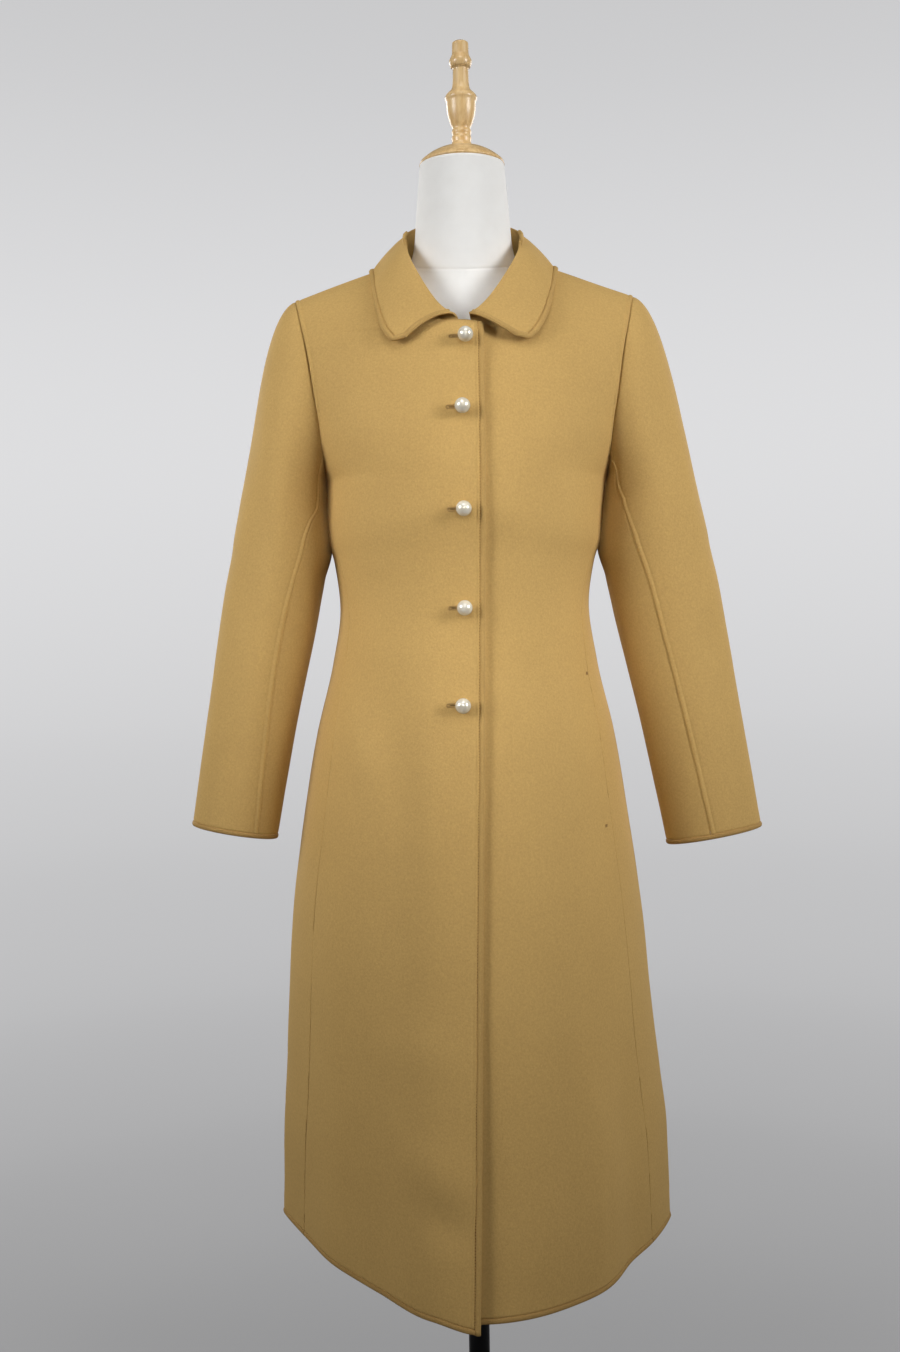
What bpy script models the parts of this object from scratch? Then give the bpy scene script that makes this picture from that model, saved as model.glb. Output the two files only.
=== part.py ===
"""Single-breasted wool coat on a dress form with a turned wood top, a pole and a round base.

Metres, +Z up, the coat's front faces -Y, and the origin is the middle of the base's underside.
Right and left are the wearer's, so the right front is on the -X side and laps over the left one.
"""

import math

import bmesh
import bpy
import numpy as np
from mathutils import Vector
from mathutils.bvhtree import BVHTree

# Cloth and sewing
WALL = 0.0024
SEAM_GAP = 0.0003
ARMHOLE_GAP = 0.0007
BINDING_WIDTH = 0.006
BINDING_WALL = 0.0030
BINDING_PROUD = 0.0004
COLLAR_WALL = 0.0022
COLLAR_EDGE_WALL = 0.0010
COLLAR_EDGE_RISE = 0.0022

# Heights of the coat's cut, as levels up the cloth
HEM = 0.310
ARMPIT = 1.150
FRONT_NECK = 1.312
BACK_NECK = 1.385
SHOULDER = 1.420

# How the fronts lap: edge places are measured past the centre line, towards the other side
RIGHT_EDGE_TOP = 0.019
RIGHT_EDGE_HEM = -0.005
LEFT_EDGE = 0.022
LAP_LIFT = 0.0042
LAP_FLAT = 0.048
LAP_FADE = 0.075
HEM_SWING = 0.006
HEM_SWING_TOP = 0.62
HEM_TILT = 0.006
TIP_DROP = 0.006

# Buttons
PEARL_RADIUS = 0.00825
SHANK_RADIUS = 0.0028
SHANK_LENGTH = 0.0020

# Stand
BASE_RADIUS = 0.170
BASE_EDGE = 0.008
BOSS_RADIUS = 0.030
BOSS_TOP = 0.034
POLE_RADIUS = 0.012
FORM_BOTTOM = 0.800
FORM_TOP = 1.500

# Mesh fineness
SEAM_STRIP = 0.02
FRONT_ACROSS = 12
BACK_ACROSS = 10
LOWER_LEVELS = (
    0.370, 0.430, 0.490, 0.550, 0.610, 0.670, 0.730, 0.790, 0.850, 0.895, 0.935, 0.970, 0.995, 1.020,
    1.045, 1.075, 1.110, 1.150,
)
UPPER_LEVELS = (
    1.175, 1.200, 1.230, 1.260, 1.290, 1.312, 1.316, 1.321, 1.326, 1.333, 1.341, 1.350, 1.359, 1.368,
    1.376, 1.385, 1.393, 1.400, 1.408, 1.416,
)
UPPER_SLEEVE_ACROSS = 16
CAP_GATHER = 1.35
UNDER_SLEEVE_ACROSS = 8
CAP_ROWS = 6
TUBE_ROWS = 11
COLLAR_ALONG = 21
CUFF_SIDES = 18
FORM_SIDES = 20
DENSE = 120


def table(columns, *rows):
    """Named columns of a short table, each as an array with one value for each row."""
    return {name: np.array(values) for name, values in zip(columns.split(), zip(*rows))}


# Half width of the coat at its side, and the share of it where the side seam lies
SIDE = table(
    "level width_right width_left seam",
    (0.310, 0.2230, 0.2225, 0.87),
    (0.420, 0.2200, 0.2190, 0.86),
    (0.480, 0.2160, 0.2120, 0.855),
    (0.540, 0.2130, 0.2045, 0.85),
    (0.660, 0.2055, 0.1930, 0.85),
    (0.785, 0.1885, 0.1760, 0.85),
    (0.868, 0.1735, 0.1625, 0.86),
    (0.949, 0.1535, 0.1440, 0.88),
    (1.010, 0.1445, 0.1355, 0.91),
    (1.060, 0.1500, 0.1420, 0.94),
    (1.085, 0.1558, 0.1496, 0.955),
    (1.107, 0.1574, 0.1512, 0.97),
    (1.150, 0.1570, 0.1570, 1.00),
)

# Front sections: bow and crown shape the curve from the centre line to the side, and start is where
# the neckline cuts it, 0 below the neck
FRONT = table(
    "level centre_y centre_z bow_right bow_left crown start",
    (0.310, -0.2130, 0.2880, 1.62, 2.05, 1.12, 0.0),
    (0.420, -0.1980, 0.4060, 1.70, 2.15, 1.20, 0.0),
    (0.540, -0.1830, 0.5330, 1.80, 2.15, 1.35, 0.0),
    (0.660, -0.1680, 0.6570, 1.95, 2.25, 1.50, 0.0),
    (0.785, -0.1520, 0.7840, 2.05, 2.20, 1.65, 0.0),
    (0.868, -0.1390, 0.8680, 2.10, 2.15, 1.75, 0.0),
    (0.949, -0.1240, 0.9490, 2.15, 2.15, 1.85, 0.0),
    (1.010, -0.1160, 1.0100, 2.20, 2.20, 1.95, 0.0),
    (1.060, -0.1190, 1.0600, 2.20, 2.20, 1.95, 0.0),
    (1.107, -0.1260, 1.1080, 2.20, 2.20, 1.95, 0.0),
    (1.150, -0.1270, 1.1530, 2.20, 2.20, 1.90, 0.0),
    (1.185, -0.1235, 1.1930, 2.20, 2.20, 1.70, 0.0),
    (1.225, -0.1140, 1.2360, 2.10, 2.10, 1.50, 0.0),
    (1.270, -0.1020, 1.2770, 2.00, 2.00, 1.35, 0.0),
    (1.312, -0.0890, 1.3100, 1.90, 1.90, 1.25, 0.0),
    (1.330, -0.0865, 1.3135, 1.75, 1.75, 1.10, 0.022),
    (1.350, -0.0790, 1.3310, 1.60, 1.60, 1.00, 0.044),
    (1.368, -0.0660, 1.3530, 1.40, 1.40, 1.00, 0.058),
    (1.385, -0.0500, 1.3790, 1.25, 1.25, 1.00, 0.065),
    (1.405, -0.0220, 1.4125, 1.05, 1.05, 1.00, 0.0705),
    (1.416, -0.0050, 1.4168, 1.00, 1.00, 1.00, 0.0718),
    (1.420, 0.0000, 1.4170, 1.00, 1.00, 1.00, 0.072),
)
FRONT_ARMHOLE = table(
    "level x y z",
    (1.150, 0.1570, 0.000, 1.150),
    (1.185, 0.1560, -0.032, 1.166),
    (1.225, 0.1585, -0.053, 1.200),
    (1.270, 0.1650, -0.059, 1.243),
    (1.312, 0.1720, -0.053, 1.286),
    (1.350, 0.1800, -0.038, 1.322),
    (1.385, 0.1855, -0.022, 1.3445),
    (1.405, 0.1880, -0.010, 1.3510),
    (1.416, 0.1885, -0.003, 1.3519),
    (1.420, 0.1885, 0.000, 1.352),
)

# Back sections, from the side or the armhole to the centre of the back
BACK = table(
    "level centre_y centre_z bow crown start",
    (0.310, 0.1650, 0.3060, 2.20, 1.40, 0.0),
    (0.420, 0.1510, 0.4190, 2.25, 1.45, 0.0),
    (0.540, 0.1380, 0.5400, 2.30, 1.55, 0.0),
    (0.660, 0.1260, 0.6600, 2.35, 1.65, 0.0),
    (0.785, 0.1120, 0.7850, 2.40, 1.75, 0.0),
    (0.868, 0.1000, 0.8680, 2.40, 1.80, 0.0),
    (0.949, 0.0840, 0.9490, 2.40, 1.85, 0.0),
    (1.010, 0.0770, 1.0100, 2.40, 1.90, 0.0),
    (1.060, 0.0820, 1.0600, 2.40, 1.95, 0.0),
    (1.107, 0.0890, 1.1070, 2.50, 2.00, 0.0),
    (1.150, 0.0950, 1.1520, 2.60, 2.00, 0.0),
    (1.185, 0.0985, 1.1980, 2.60, 1.85, 0.0),
    (1.225, 0.1010, 1.2450, 2.50, 1.65, 0.0),
    (1.270, 0.0990, 1.2950, 2.30, 1.50, 0.0),
    (1.312, 0.0900, 1.3400, 2.10, 1.35, 0.0),
    (1.350, 0.0770, 1.3780, 1.80, 1.20, 0.0),
    (1.385, 0.0630, 1.4060, 1.50, 1.05, 0.0),
    (1.393, 0.0600, 1.4090, 1.40, 1.02, 0.030),
    (1.400, 0.0530, 1.4115, 1.25, 1.00, 0.048),
    (1.408, 0.0390, 1.4140, 1.10, 1.00, 0.062),
    (1.416, 0.0080, 1.4168, 1.00, 1.00, 0.0715),
    (1.420, 0.0000, 1.4170, 1.00, 1.00, 0.072),
)
BACK_ARMHOLE = table(
    "level x y z",
    (1.150, 0.1570, 0.000, 1.150),
    (1.185, 0.1570, 0.034, 1.167),
    (1.225, 0.1610, 0.056, 1.203),
    (1.270, 0.1680, 0.060, 1.250),
    (1.312, 0.1760, 0.050, 1.295),
    (1.350, 0.1830, 0.032, 1.331),
    (1.385, 0.1868, 0.018, 1.3470),
    (1.405, 0.1882, 0.008, 1.3514),
    (1.416, 0.1885, 0.002, 1.3519),
    (1.420, 0.1885, 0.000, 1.352),
)

# Soft flutes of the skirt: shares are negative on the right, and depths are negative in troughs
FLUTES = table(
    "face share width depth top low",
    ("front", -0.42, 0.13, -0.0045, 0.97, 0.74),
    ("front", -0.70, 0.12, 0.0050, 0.92, 0.31),
    ("front", -0.46, 0.18, 0.0034, 0.60, 0.31),
    ("front", -0.20, 0.14, 0.0018, 0.66, 0.31),
    ("front", 0.36, 0.15, 0.0035, 0.95, 0.45),
    ("front", 0.57, 0.13, 0.0055, 0.64, 0.31),
    ("front", 0.76, 0.09, -0.0045, 0.60, 0.31),
    ("back", -0.62, 0.14, 0.0080, 0.88, 0.31),
    ("back", -0.32, 0.12, -0.0070, 0.82, 0.31),
    ("back", 0.04, 0.14, 0.0070, 0.86, 0.31),
    ("back", 0.40, 0.12, -0.0060, 0.80, 0.31),
    ("back", 0.68, 0.13, 0.0070, 0.90, 0.31),
)

# Sleeve rings from under the armpit to the cuff, for the left sleeve
SLEEVE = table(
    "z x y wide deep",
    (1.128, 0.2073, 0.000, 0.0498, 0.0600),
    (1.075, 0.2112, 0.000, 0.0568, 0.0580),
    (1.020, 0.2220, -0.001, 0.0575, 0.0550),
    (0.950, 0.2360, -0.003, 0.0555, 0.0510),
    (0.875, 0.2505, -0.006, 0.0530, 0.0470),
    (0.815, 0.2615, -0.009, 0.0520, 0.0430),
    (0.757, 0.2720, -0.012, 0.0510, 0.0395),
)
# How far the sleeve's cap is drawn in towards the shoulder, so that its outside runs straight into the tube
CAP_LEAN = 0.0130
# Each sleeve hangs a little differently: flatter or rounder, longer or shorter, and swung to the side
SLEEVE_HANG = {
    -1: {"flat": -0.06, "drop": 0.003, "swing": -0.004},
    1: {"flat": 0.06, "drop": -0.009, "swing": 0.0},
}
# Angles of the sleeve's seams from its inside to the front: share 0 is the armhole, 1 the armpit, 2 the cuff
SLEEVE_SEAMS = table(
    "share front_right front_left back_right back_left",
    (0.00, 34.0, 34.0, -38.0, -38.0),
    (1.00, 30.0, 46.0, -57.0, -45.0),
    (1.06, 45.0, 54.0, -59.0, -45.5),
    (1.12, 54.5, 62.0, -60.5, -46.0),
    (1.21, 59.5, 67.5, -62.0, -46.5),
    (1.40, 64.0, 71.0, -65.0, -47.6),
    (2.00, 51.0, 80.0, -66.0, -48.0),
)

# Buttons from the top down, with their distance from the right front's edge
BUTTONS = table(
    "height inset",
    (1.2902, 0.0197),
    (1.2140, 0.0238),
    (1.1110, 0.0230),
    (1.0080, 0.0218),
    (0.9050, 0.0230),
)

# Half of the collar, from the centre back to its front end, on the side that shows
COLLAR = table(
    "along fold_x fold_y fold_z edge_x edge_y edge_z crown end_lift",
    (0.00, 0.0000, 0.0650, 1.4515, 0.0000, 0.0900, 1.3840, 0.006, 0.000),
    (0.17, 0.0390, 0.0560, 1.4495, 0.0540, 0.0840, 1.3810, 0.006, 0.000),
    (0.34, 0.0590, 0.0310, 1.4370, 0.0890, 0.0510, 1.3870, 0.004, 0.000),
    (0.50, 0.0655, -0.0020, 1.4205, 0.1035, 0.0050, 1.3845, 0.002, 0.000),
    (0.64, 0.0610, -0.0420, 1.398, 0.1000, -0.0490, 1.3540, 0.002, 0.000),
    (0.78, 0.0405, -0.0780, 1.357, 0.0930, -0.0805, 1.3190, 0.002, 0.000),
    (0.89, 0.0225, -0.0905, 1.331, 0.0830, -0.0965, 1.2975, 0.001, 0.000),
    (0.95, 0.0140, -0.0940, 1.3230, 0.0745, -0.1010, 1.2905, 0.000, 0.001),
    (1.00, 0.0085, -0.0955, 1.3195, 0.0610, -0.1030, 1.2930, 0.000, 0.001),
)
# The collar's front ends lie a little to the wearer's right, and the left one more than the right one
COLLAR_SWING = table(
    "place right left",
    (0.0, 0.0000, 0.0000),
    (1.0, -0.0050, -0.0050),
    (2.0, -0.0020, -0.0085),
)
# The right end arches up, and the left end stands off the coat, because it rests on the lap
COLLAR_ARCH = 0.0045
COLLAR_OFF = 0.0030
COLLAR_END = 0.0065
NECK_MIDDLE = (0.0, -0.012, 0.0)
STAND_INSET = 0.0056
STAND_DROP = 0.0025
STAND_ROUND = 0.0012
# Places of the collar's profile between its neck seam (0), its fold (1) and its outer edge (2)
COLLAR_PROFILE = (0.0, 0.45, 0.85, 1.0, 1.15, 1.35, 1.6, 1.8, 2.0)
FOLD_RADIUS = 0.0060
COLLAR_REST = 0.0030

# Dress form sections, from the bottom to the top of the neck
FORM = table(
    "z width front back bow crown",
    (0.800, 0.1480, 0.1130, 0.0760, 2.2, 1.9),
    (0.868, 0.1530, 0.1200, 0.0830, 2.2, 1.9),
    (0.949, 0.1360, 0.1100, 0.0700, 2.2, 1.9),
    (1.010, 0.1260, 0.1030, 0.0650, 2.2, 1.9),
    (1.060, 0.1310, 0.1080, 0.0700, 2.2, 1.9),
    (1.120, 0.1400, 0.1160, 0.0780, 2.3, 1.9),
    (1.180, 0.1440, 0.1100, 0.0850, 2.3, 1.8),
    (1.240, 0.1480, 0.0950, 0.0860, 2.3, 1.5),
    (1.290, 0.1560, 0.0800, 0.0780, 2.0, 1.3),
    (1.320, 0.1620, 0.0690, 0.0680, 1.7, 1.1),
    (1.338, 0.1560, 0.0620, 0.0620, 1.6, 1.0),
    (1.352, 0.1330, 0.0570, 0.0580, 1.6, 1.0),
    (1.364, 0.1030, 0.0530, 0.0550, 1.7, 1.1),
    (1.376, 0.0760, 0.0510, 0.0530, 1.8, 1.3),
    (1.390, 0.0605, 0.0505, 0.0520, 2.0, 1.7),
    (1.410, 0.0550, 0.0500, 0.0515, 2.0, 2.0),
    (1.450, 0.0515, 0.0490, 0.0500, 2.0, 2.0),
    (1.500, 0.0470, 0.0470, 0.0470, 2.0, 2.0),
)

# Turned wood, outer line from the top down
CAP_PROFILE = table(
    "radius height",
    (0.0130, 0.0205),
    (0.0230, 0.0180),
    (0.0340, 0.0130),
    (0.0420, 0.0075),
    (0.0470, 0.0025),
    (0.0475, 0.0005),
)
FINIAL_PROFILE = table(
    "radius height",
    (0.0070, 0.1150),
    (0.0088, 0.1135),
    (0.0094, 0.1010),
    (0.0105, 0.0985),
    (0.0126, 0.0930),
    (0.0112, 0.0875),
    (0.0086, 0.0850),
    (0.0090, 0.0700),
    (0.0100, 0.0640),
    (0.0168, 0.0560),
    (0.0180, 0.0530),
    (0.0168, 0.0490),
    (0.0158, 0.0380),
    (0.0130, 0.0270),
    (0.0100, 0.0190),
    (0.0110, 0.0160),
    (0.0101, 0.0125),
    (0.0110, 0.0090),
    (0.0106, 0.0050),
    (0.0128, 0.0000),
)


def smooth(knots, values, places):
    """A curve through the rows of a table that never runs past them between two rows."""
    step = np.diff(knots)
    slope = np.diff(values) / step
    tangent = np.concatenate([slope[:1], np.zeros(len(slope) - 1), slope[-1:]])
    after, before = 2 * step[1:] + step[:-1], step[1:] + 2 * step[:-1]
    same_way = slope[:-1] * slope[1:] > 0
    safe = np.where(same_way, slope[:-1], 1.0), np.where(same_way, slope[1:], 1.0)
    mean = (after + before) / (after / safe[0] + before / safe[1])
    tangent[1:-1] = np.where(same_way, mean, 0.0)
    places = np.asarray(places, float)
    row = np.clip(np.searchsorted(knots, places, side="right") - 1, 0, len(step) - 1)
    t = (places - knots[row]) / step[row]
    rise = 3 * t**2 - 2 * t**3
    lean = (t - 2 * t**2 + t**3) * tangent[row] + (t**3 - t**2) * tangent[row + 1]
    return values[row] + (values[row + 1] - values[row]) * rise + lean * step[row]


def column(rows, name, level, key="level"):
    return smooth(rows[key], rows[name], level)


def ramp(low, high, value):
    """0 below low, 1 above high, and a soft rise between them."""
    t = np.clip((value - low) / (high - low), 0.0, 1.0)
    return t * t * (3 - 2 * t)


def unit(vectors):
    return vectors / np.linalg.norm(vectors, axis=-1, keepdims=True)


def lengths(line):
    """Distance along a line of points, from its first point."""
    steps = np.linalg.norm(np.diff(line, axis=0), axis=1)
    return np.concatenate([[0.0], np.cumsum(steps)])


def at_distances(line, distances):
    """Points of a line at these distances along it."""
    reach = lengths(line)
    return np.stack([np.interp(distances, reach, line[:, axis]) for axis in range(3)], axis=1)


def side_point(armhole, side, level):
    """The end of a section: on the side below the armpit, and on the armhole above it."""
    if level <= ARMPIT:
        width = column(SIDE, "width_right" if side < 0 else "width_left", level)
        return np.array([width, 0.0, level - side * HEM_TILT * (1 - ramp(HEM, 0.65, level))])
    return np.array([column(armhole, axis, level) for axis in "xyz"])


def section_shares(start):
    """Shares from a start to the side, closer together towards the side."""
    return start + (1 - start) * np.sin(np.linspace(0, math.pi / 2, DENSE))


def section(shares, centre_y, centre_z, side, bow, crown):
    """Points of one section, from the centre line at share 0 to the side at share 1."""
    reach = np.abs(shares) ** bow
    depth = 1 - np.clip(1 - reach, 0, 1) ** (1 / crown)
    x = side[0] * shares
    y = centre_y + (side[1] - centre_y) * depth
    z = centre_z + (side[2] - centre_z) * reach
    return np.stack([x, y, z], axis=1)


def outward(line):
    """Level directions that point out of a ring which is followed from the front to the back."""
    along = np.gradient(line, axis=0)
    return unit(np.stack([along[:, 1], -along[:, 0], np.zeros(len(line))], axis=1))


def fluted(line, shares, face, side, level):
    """The line with the skirt's soft ridges and troughs."""
    lift = np.zeros(len(line))
    for row in range(len(FLUTES["face"])):
        if FLUTES["face"][row] != face:
            continue
        top, low = FLUTES["top"][row], FLUTES["low"][row]
        here = 1 - ramp(low + 0.3 * (top - low), top, level)
        here *= ramp(low - 0.25, low, level)
        bell = np.exp(-(((side * shares - FLUTES["share"][row]) / FLUTES["width"][row]) ** 2))
        lift += FLUTES["depth"][row] * here * bell
    return line + outward(line) * lift[:, None]


def front_edge(side, level):
    """How far the front's edge lies past the centre line, towards the other side."""
    if side > 0:
        return LEFT_EDGE
    return RIGHT_EDGE_HEM + (RIGHT_EDGE_TOP - RIGHT_EDGE_HEM) * ramp(HEM - 0.35, FRONT_NECK, level)


def front_line(side, level):
    """One level of a front, from its edge to the side or armhole, and the share at each point."""
    end = side_point(FRONT_ARMHOLE, side, level)
    start = column(FRONT, "start", level)
    start -= front_edge(side, level) * (1 - ramp(FRONT_NECK, 1.330, level))
    shares = section_shares(start / end[0])
    bow = column(FRONT, "bow_right" if side < 0 else "bow_left", level)
    shape = [column(FRONT, name, level) for name in ("centre_y", "centre_z")]
    line = section(shares, *shape, end, bow, column(FRONT, "crown", level))
    line = fluted(line, shares, "front", side, level)
    if side < 0:
        reach = lengths(line)
        flap = 1 - ramp(LAP_FLAT, LAP_FLAT + LAP_FADE, reach)
        lift = LAP_LIFT * (1 - ramp(1.330, 1.385, level))
        lift += HEM_SWING * (1 - ramp(HEM, HEM_SWING_TOP, level))
        line = line + outward(line) * (lift * flap)[:, None]
        line[:, 2] -= TIP_DROP * (1 - ramp(HEM, 0.55, level)) * (1 - ramp(0.0, LAP_FLAT, reach))
    return line, shares


def back_line(side, level):
    """One level of a back half, from the side or armhole to the centre of the back."""
    end = side_point(BACK_ARMHOLE, side, level)
    start = column(BACK, "start", level)
    shares = section_shares(start / end[0])[::-1]
    shape = [column(BACK, name, level) for name in ("centre_y", "centre_z")]
    line = section(shares, *shape, end, *[column(BACK, name, level) for name in ("bow", "crown")])
    return fluted(line, shares, "back", side, level)


def front_row(side, level):
    """A front's whole level, cut off at the side seam."""
    line, shares = front_line(side, level)
    seam = column(SIDE, "seam", min(level, ARMPIT))
    stop = np.interp(seam, shares, lengths(line)) - SEAM_GAP / 2
    return at_distances(line, np.linspace(0, stop, DENSE))


def back_row(side, level):
    """A back half's whole level, from the side seam round the side to the centre of the back."""
    line = back_line(side, level)
    if level < ARMPIT:
        ahead, shares = front_line(side, level)
        seam = column(SIDE, "seam", level)
        round_side = ahead[shares > seam]
        line = np.concatenate([round_side, line[1:]])
    return at_distances(line, np.linspace(SEAM_GAP / 2, lengths(line)[-1], DENSE))


def spread(start, stop, count):
    """Even places between two ends, with one more close to each end for the seam."""
    seam = SEAM_STRIP * (stop - start)
    return np.concatenate([[start], np.linspace(start + seam, stop - seam, count - 2), [stop]])


def across(line, start, stop, count):
    """Points of a line between two distances from its first point."""
    return at_distances(line, spread(start, stop, count) if count > 2 else [start, stop])


def mirrored(points, side):
    return points * np.array([side, 1.0, 1.0])


def coat_levels():
    bottom = HEM + BINDING_WIDTH + SEAM_GAP
    return np.array([bottom, *LOWER_LEVELS, *UPPER_LEVELS, SHOULDER - SEAM_GAP / 2])


def front_grid(side):
    rows = []
    for level in coat_levels():
        line = front_row(side, level)
        inset = (BINDING_WIDTH + SEAM_GAP) * (1 - ramp(FRONT_NECK, 1.330, level))
        rows.append(across(line, inset, lengths(line)[-1], FRONT_ACROSS))
    return mirrored(np.array(rows), side)


def back_half(side, level):
    """A level of the back from one side seam to the centre, with one more point at the seam."""
    line = back_row(side, level)
    whole = lengths(line)[-1]
    places = np.concatenate([[0.0], np.linspace(SEAM_STRIP * whole, whole, BACK_ACROSS - 1)])
    return mirrored(at_distances(line, places), side)


def back_grid(side):
    """Half of the back: its rows end at the centre below the neck, and at the neckline above."""
    return np.array([back_half(side, level) for level in coat_levels()])


def front_edge_grid(side):
    """The bound front edge, from the hem to the neck corner."""
    levels = np.concatenate([[HEM], coat_levels()])
    levels = np.append(levels[levels < FRONT_NECK], FRONT_NECK)
    rows = [across(front_row(side, level), 0, BINDING_WIDTH, 2) for level in levels]
    return mirrored(np.array(rows), side)


def hem_grid(side=None):
    """The bound hem of a front, or of the back where no side is given."""
    rows = []
    for level in (HEM, HEM + BINDING_WIDTH):
        if side is not None:
            line = front_row(side, level)
            start = BINDING_WIDTH + SEAM_GAP
            rows.append(mirrored(across(line, start, lengths(line)[-1], FRONT_ACROSS), side))
            continue
        halves = [back_half(way, level) for way in (-1, 1)]
        rows.append(np.concatenate([halves[0], halves[1][-2::-1]]))
    return np.array(rows)


def armhole_points(angles):
    """Armhole points of the left side, at angles from the armpit (0) over the front to the top (180)."""
    levels = np.linspace(ARMPIT, SHOULDER, DENSE)
    found = []
    for angle in angles:
        rows = FRONT_ARMHOLE if angle % 360 <= 180 else BACK_ARMHOLE
        line = np.stack([column(rows, axis, levels) for axis in "xyz"], axis=1)
        share = (angle % 360) / 180 if angle % 360 <= 180 else 2 - (angle % 360) / 180
        found.append(at_distances(line, [share * lengths(line)[-1]])[0])
    return np.array(found)


def sleeve_ring(z, angles, hang):
    """Sleeve points round its axis at one height, and the sleeve's direction there."""
    high = SLEEVE["z"][::-1]
    at = {name: smooth(high, SLEEVE[name][::-1], z) for name in ("x", "y", "wide", "deep")}
    near = [smooth(high, SLEEVE[name][::-1], [z + 0.01, z - 0.01]) for name in ("x", "y")]
    axis = unit(np.array([near[0][1] - near[0][0], near[1][1] - near[1][0], -0.02]))
    inside = unit(np.array([-1.0, 0.0, 0.0]) + axis[0] * axis)
    ahead = np.cross(inside, axis)
    ahead = ahead if ahead[1] < 0 else -ahead
    turn = np.radians(angles)
    down = (SLEEVE["z"][0] - z) / (SLEEVE["z"][0] - SLEEVE["z"][-1])
    centre = np.array([at["x"] + hang["swing"] * down, at["y"], z])
    wide, deep = at["wide"] * (1 + hang["flat"]), at["deep"] * (1 - hang["flat"])
    ring = centre + np.outer(wide * np.cos(turn), inside) + np.outer(deep * np.sin(turn), ahead)
    return ring, axis


def sleeve_row(share, angles, hang):
    """A row of the sleeve: shares 0 to 1 run over its cap, and 1 to 2 down its tube."""
    top, cuff = SLEEVE["z"][0], SLEEVE["z"][-1] + hang["drop"]
    if share >= 1:
        return sleeve_ring(top + (cuff - top) * (share - 1), angles, hang)[0]
    hole = armhole_points(angles)
    ring, axis = sleeve_ring(top, angles, hang)
    turn = np.radians(angles)
    over = (1 - np.cos(turn)) / 2
    leave = np.stack([0.25 + 0.69 * over, -0.45 * np.sin(turn), -0.97 + 0.60 * over], axis=1)
    leave = unit(leave)
    hole = hole + leave * ARMHOLE_GAP
    first = hole + leave * (0.004 + 0.033 * over)[:, None]
    second = ring - np.outer(0.006 + 0.076 * over, axis)
    second[:, 0] -= CAP_LEAN * over**2
    t = share
    return (1 - t) ** 3 * hole + 3 * t * (1 - t) ** 2 * first + 3 * t**2 * (1 - t) * second + t**3 * ring


def sleeve_shares(hang):
    length = SLEEVE["z"][0] - SLEEVE["z"][-1] - hang["drop"]
    stop = 2 - (BINDING_WIDTH + SEAM_GAP) / length
    cap = np.concatenate([[0.0, 0.03], np.linspace(0, 1, CAP_ROWS)[1:-1]])
    return np.concatenate([cap, np.linspace(1, stop, TUBE_ROWS)])


def sleeve_seams(share, side):
    """Angles of the sleeve's front and back seams on a row."""
    name = "right" if side < 0 else "left"
    return [column(SLEEVE_SEAMS, f"{seam}_{name}", share, "share") for seam in ("front", "back")]


def gathered(angles):
    """The angles, drawn closer together towards the top of the sleeve."""
    reach = np.where(angles < 180, 180 - angles[0], angles[-1] - 180)
    share = (angles - 180) / reach
    return 180 + reach * np.sign(share) * np.abs(share) ** CAP_GATHER


def sleeve_grid(side, under):
    hang = SLEEVE_HANG[side]
    gap = math.degrees(SEAM_GAP / SLEEVE["deep"][-1])
    rows = []
    for share in sleeve_shares(hang):
        front, back = sleeve_seams(share, side)
        if under:
            angles = spread(back + gap, front - gap, UNDER_SLEEVE_ACROSS)
        else:
            angles = gathered(spread(front + gap, back + 360 - gap, UPPER_SLEEVE_ACROSS))
        rows.append(sleeve_row(share, angles, hang))
    return mirrored(np.array(rows), side)


def cuff_rings(side):
    hang = SLEEVE_HANG[side]
    length = SLEEVE["z"][0] - SLEEVE["z"][-1] - hang["drop"]
    angles = np.arange(CUFF_SIDES) * 360 / CUFF_SIDES
    rings = [sleeve_row(share, angles, hang) for share in (2.0, 2 - BINDING_WIDTH / length)]
    return mirrored(np.array(rings), side)


def neckline(side):
    """The coat's neck edge on one side, from the centre back to the collar's front end."""
    back = [back_line(side, level)[-1] for level in np.linspace(BACK_NECK, SHOULDER, DENSE)]
    front = [front_line(side, level)[0][0] for level in np.linspace(SHOULDER, FRONT_NECK, DENSE)]
    line = np.array(back + front[1:])
    return line[line[:, 0] > COLLAR_END * (np.arange(len(line)) > DENSE)]


def collar_profile(along, neck):
    """The collar's line across, from the neck seam over the fold to the outer edge."""
    fold, edge = [
        np.array([column(COLLAR, f"{part}_{axis}", along, "along") for axis in "xyz"])
        for part in ("fold", "edge")
    ]
    level = np.array([1.0, 1.0, 0.0])
    away = unit((neck - np.array(NECK_MIDDLE)) * level)
    drop = STAND_DROP - (STAND_DROP + STAND_ROUND) * ramp(0.78, 0.92, along)
    seam = neck - away * STAND_INSET - np.array([0.0, 0.0, drop])
    out = unit((edge - seam) * level)
    fall = edge - fold
    crown, end_lift = [column(COLLAR, name, along, "along") for name in ("crown", "end_lift")]
    points = []
    for place in COLLAR_PROFILE:
        if place <= 1:
            above = np.array([seam[0], seam[1], fold[2] + STAND_ROUND])
            points.append((1 - place) ** 2 * seam + 2 * place * (1 - place) * above + place**2 * fold)
            continue
        t = place - 1
        roll = FOLD_RADIUS * (1 - t) * (1 - (1 - min(t / 0.3, 1)) ** 2)
        swell = math.sin(math.pi * t)
        rise = np.array([0.0, 0.0, crown + end_lift]) * swell
        points.append(fold + fall * t + out * (roll + crown * swell) + rise)
    return np.array(points)


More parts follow.
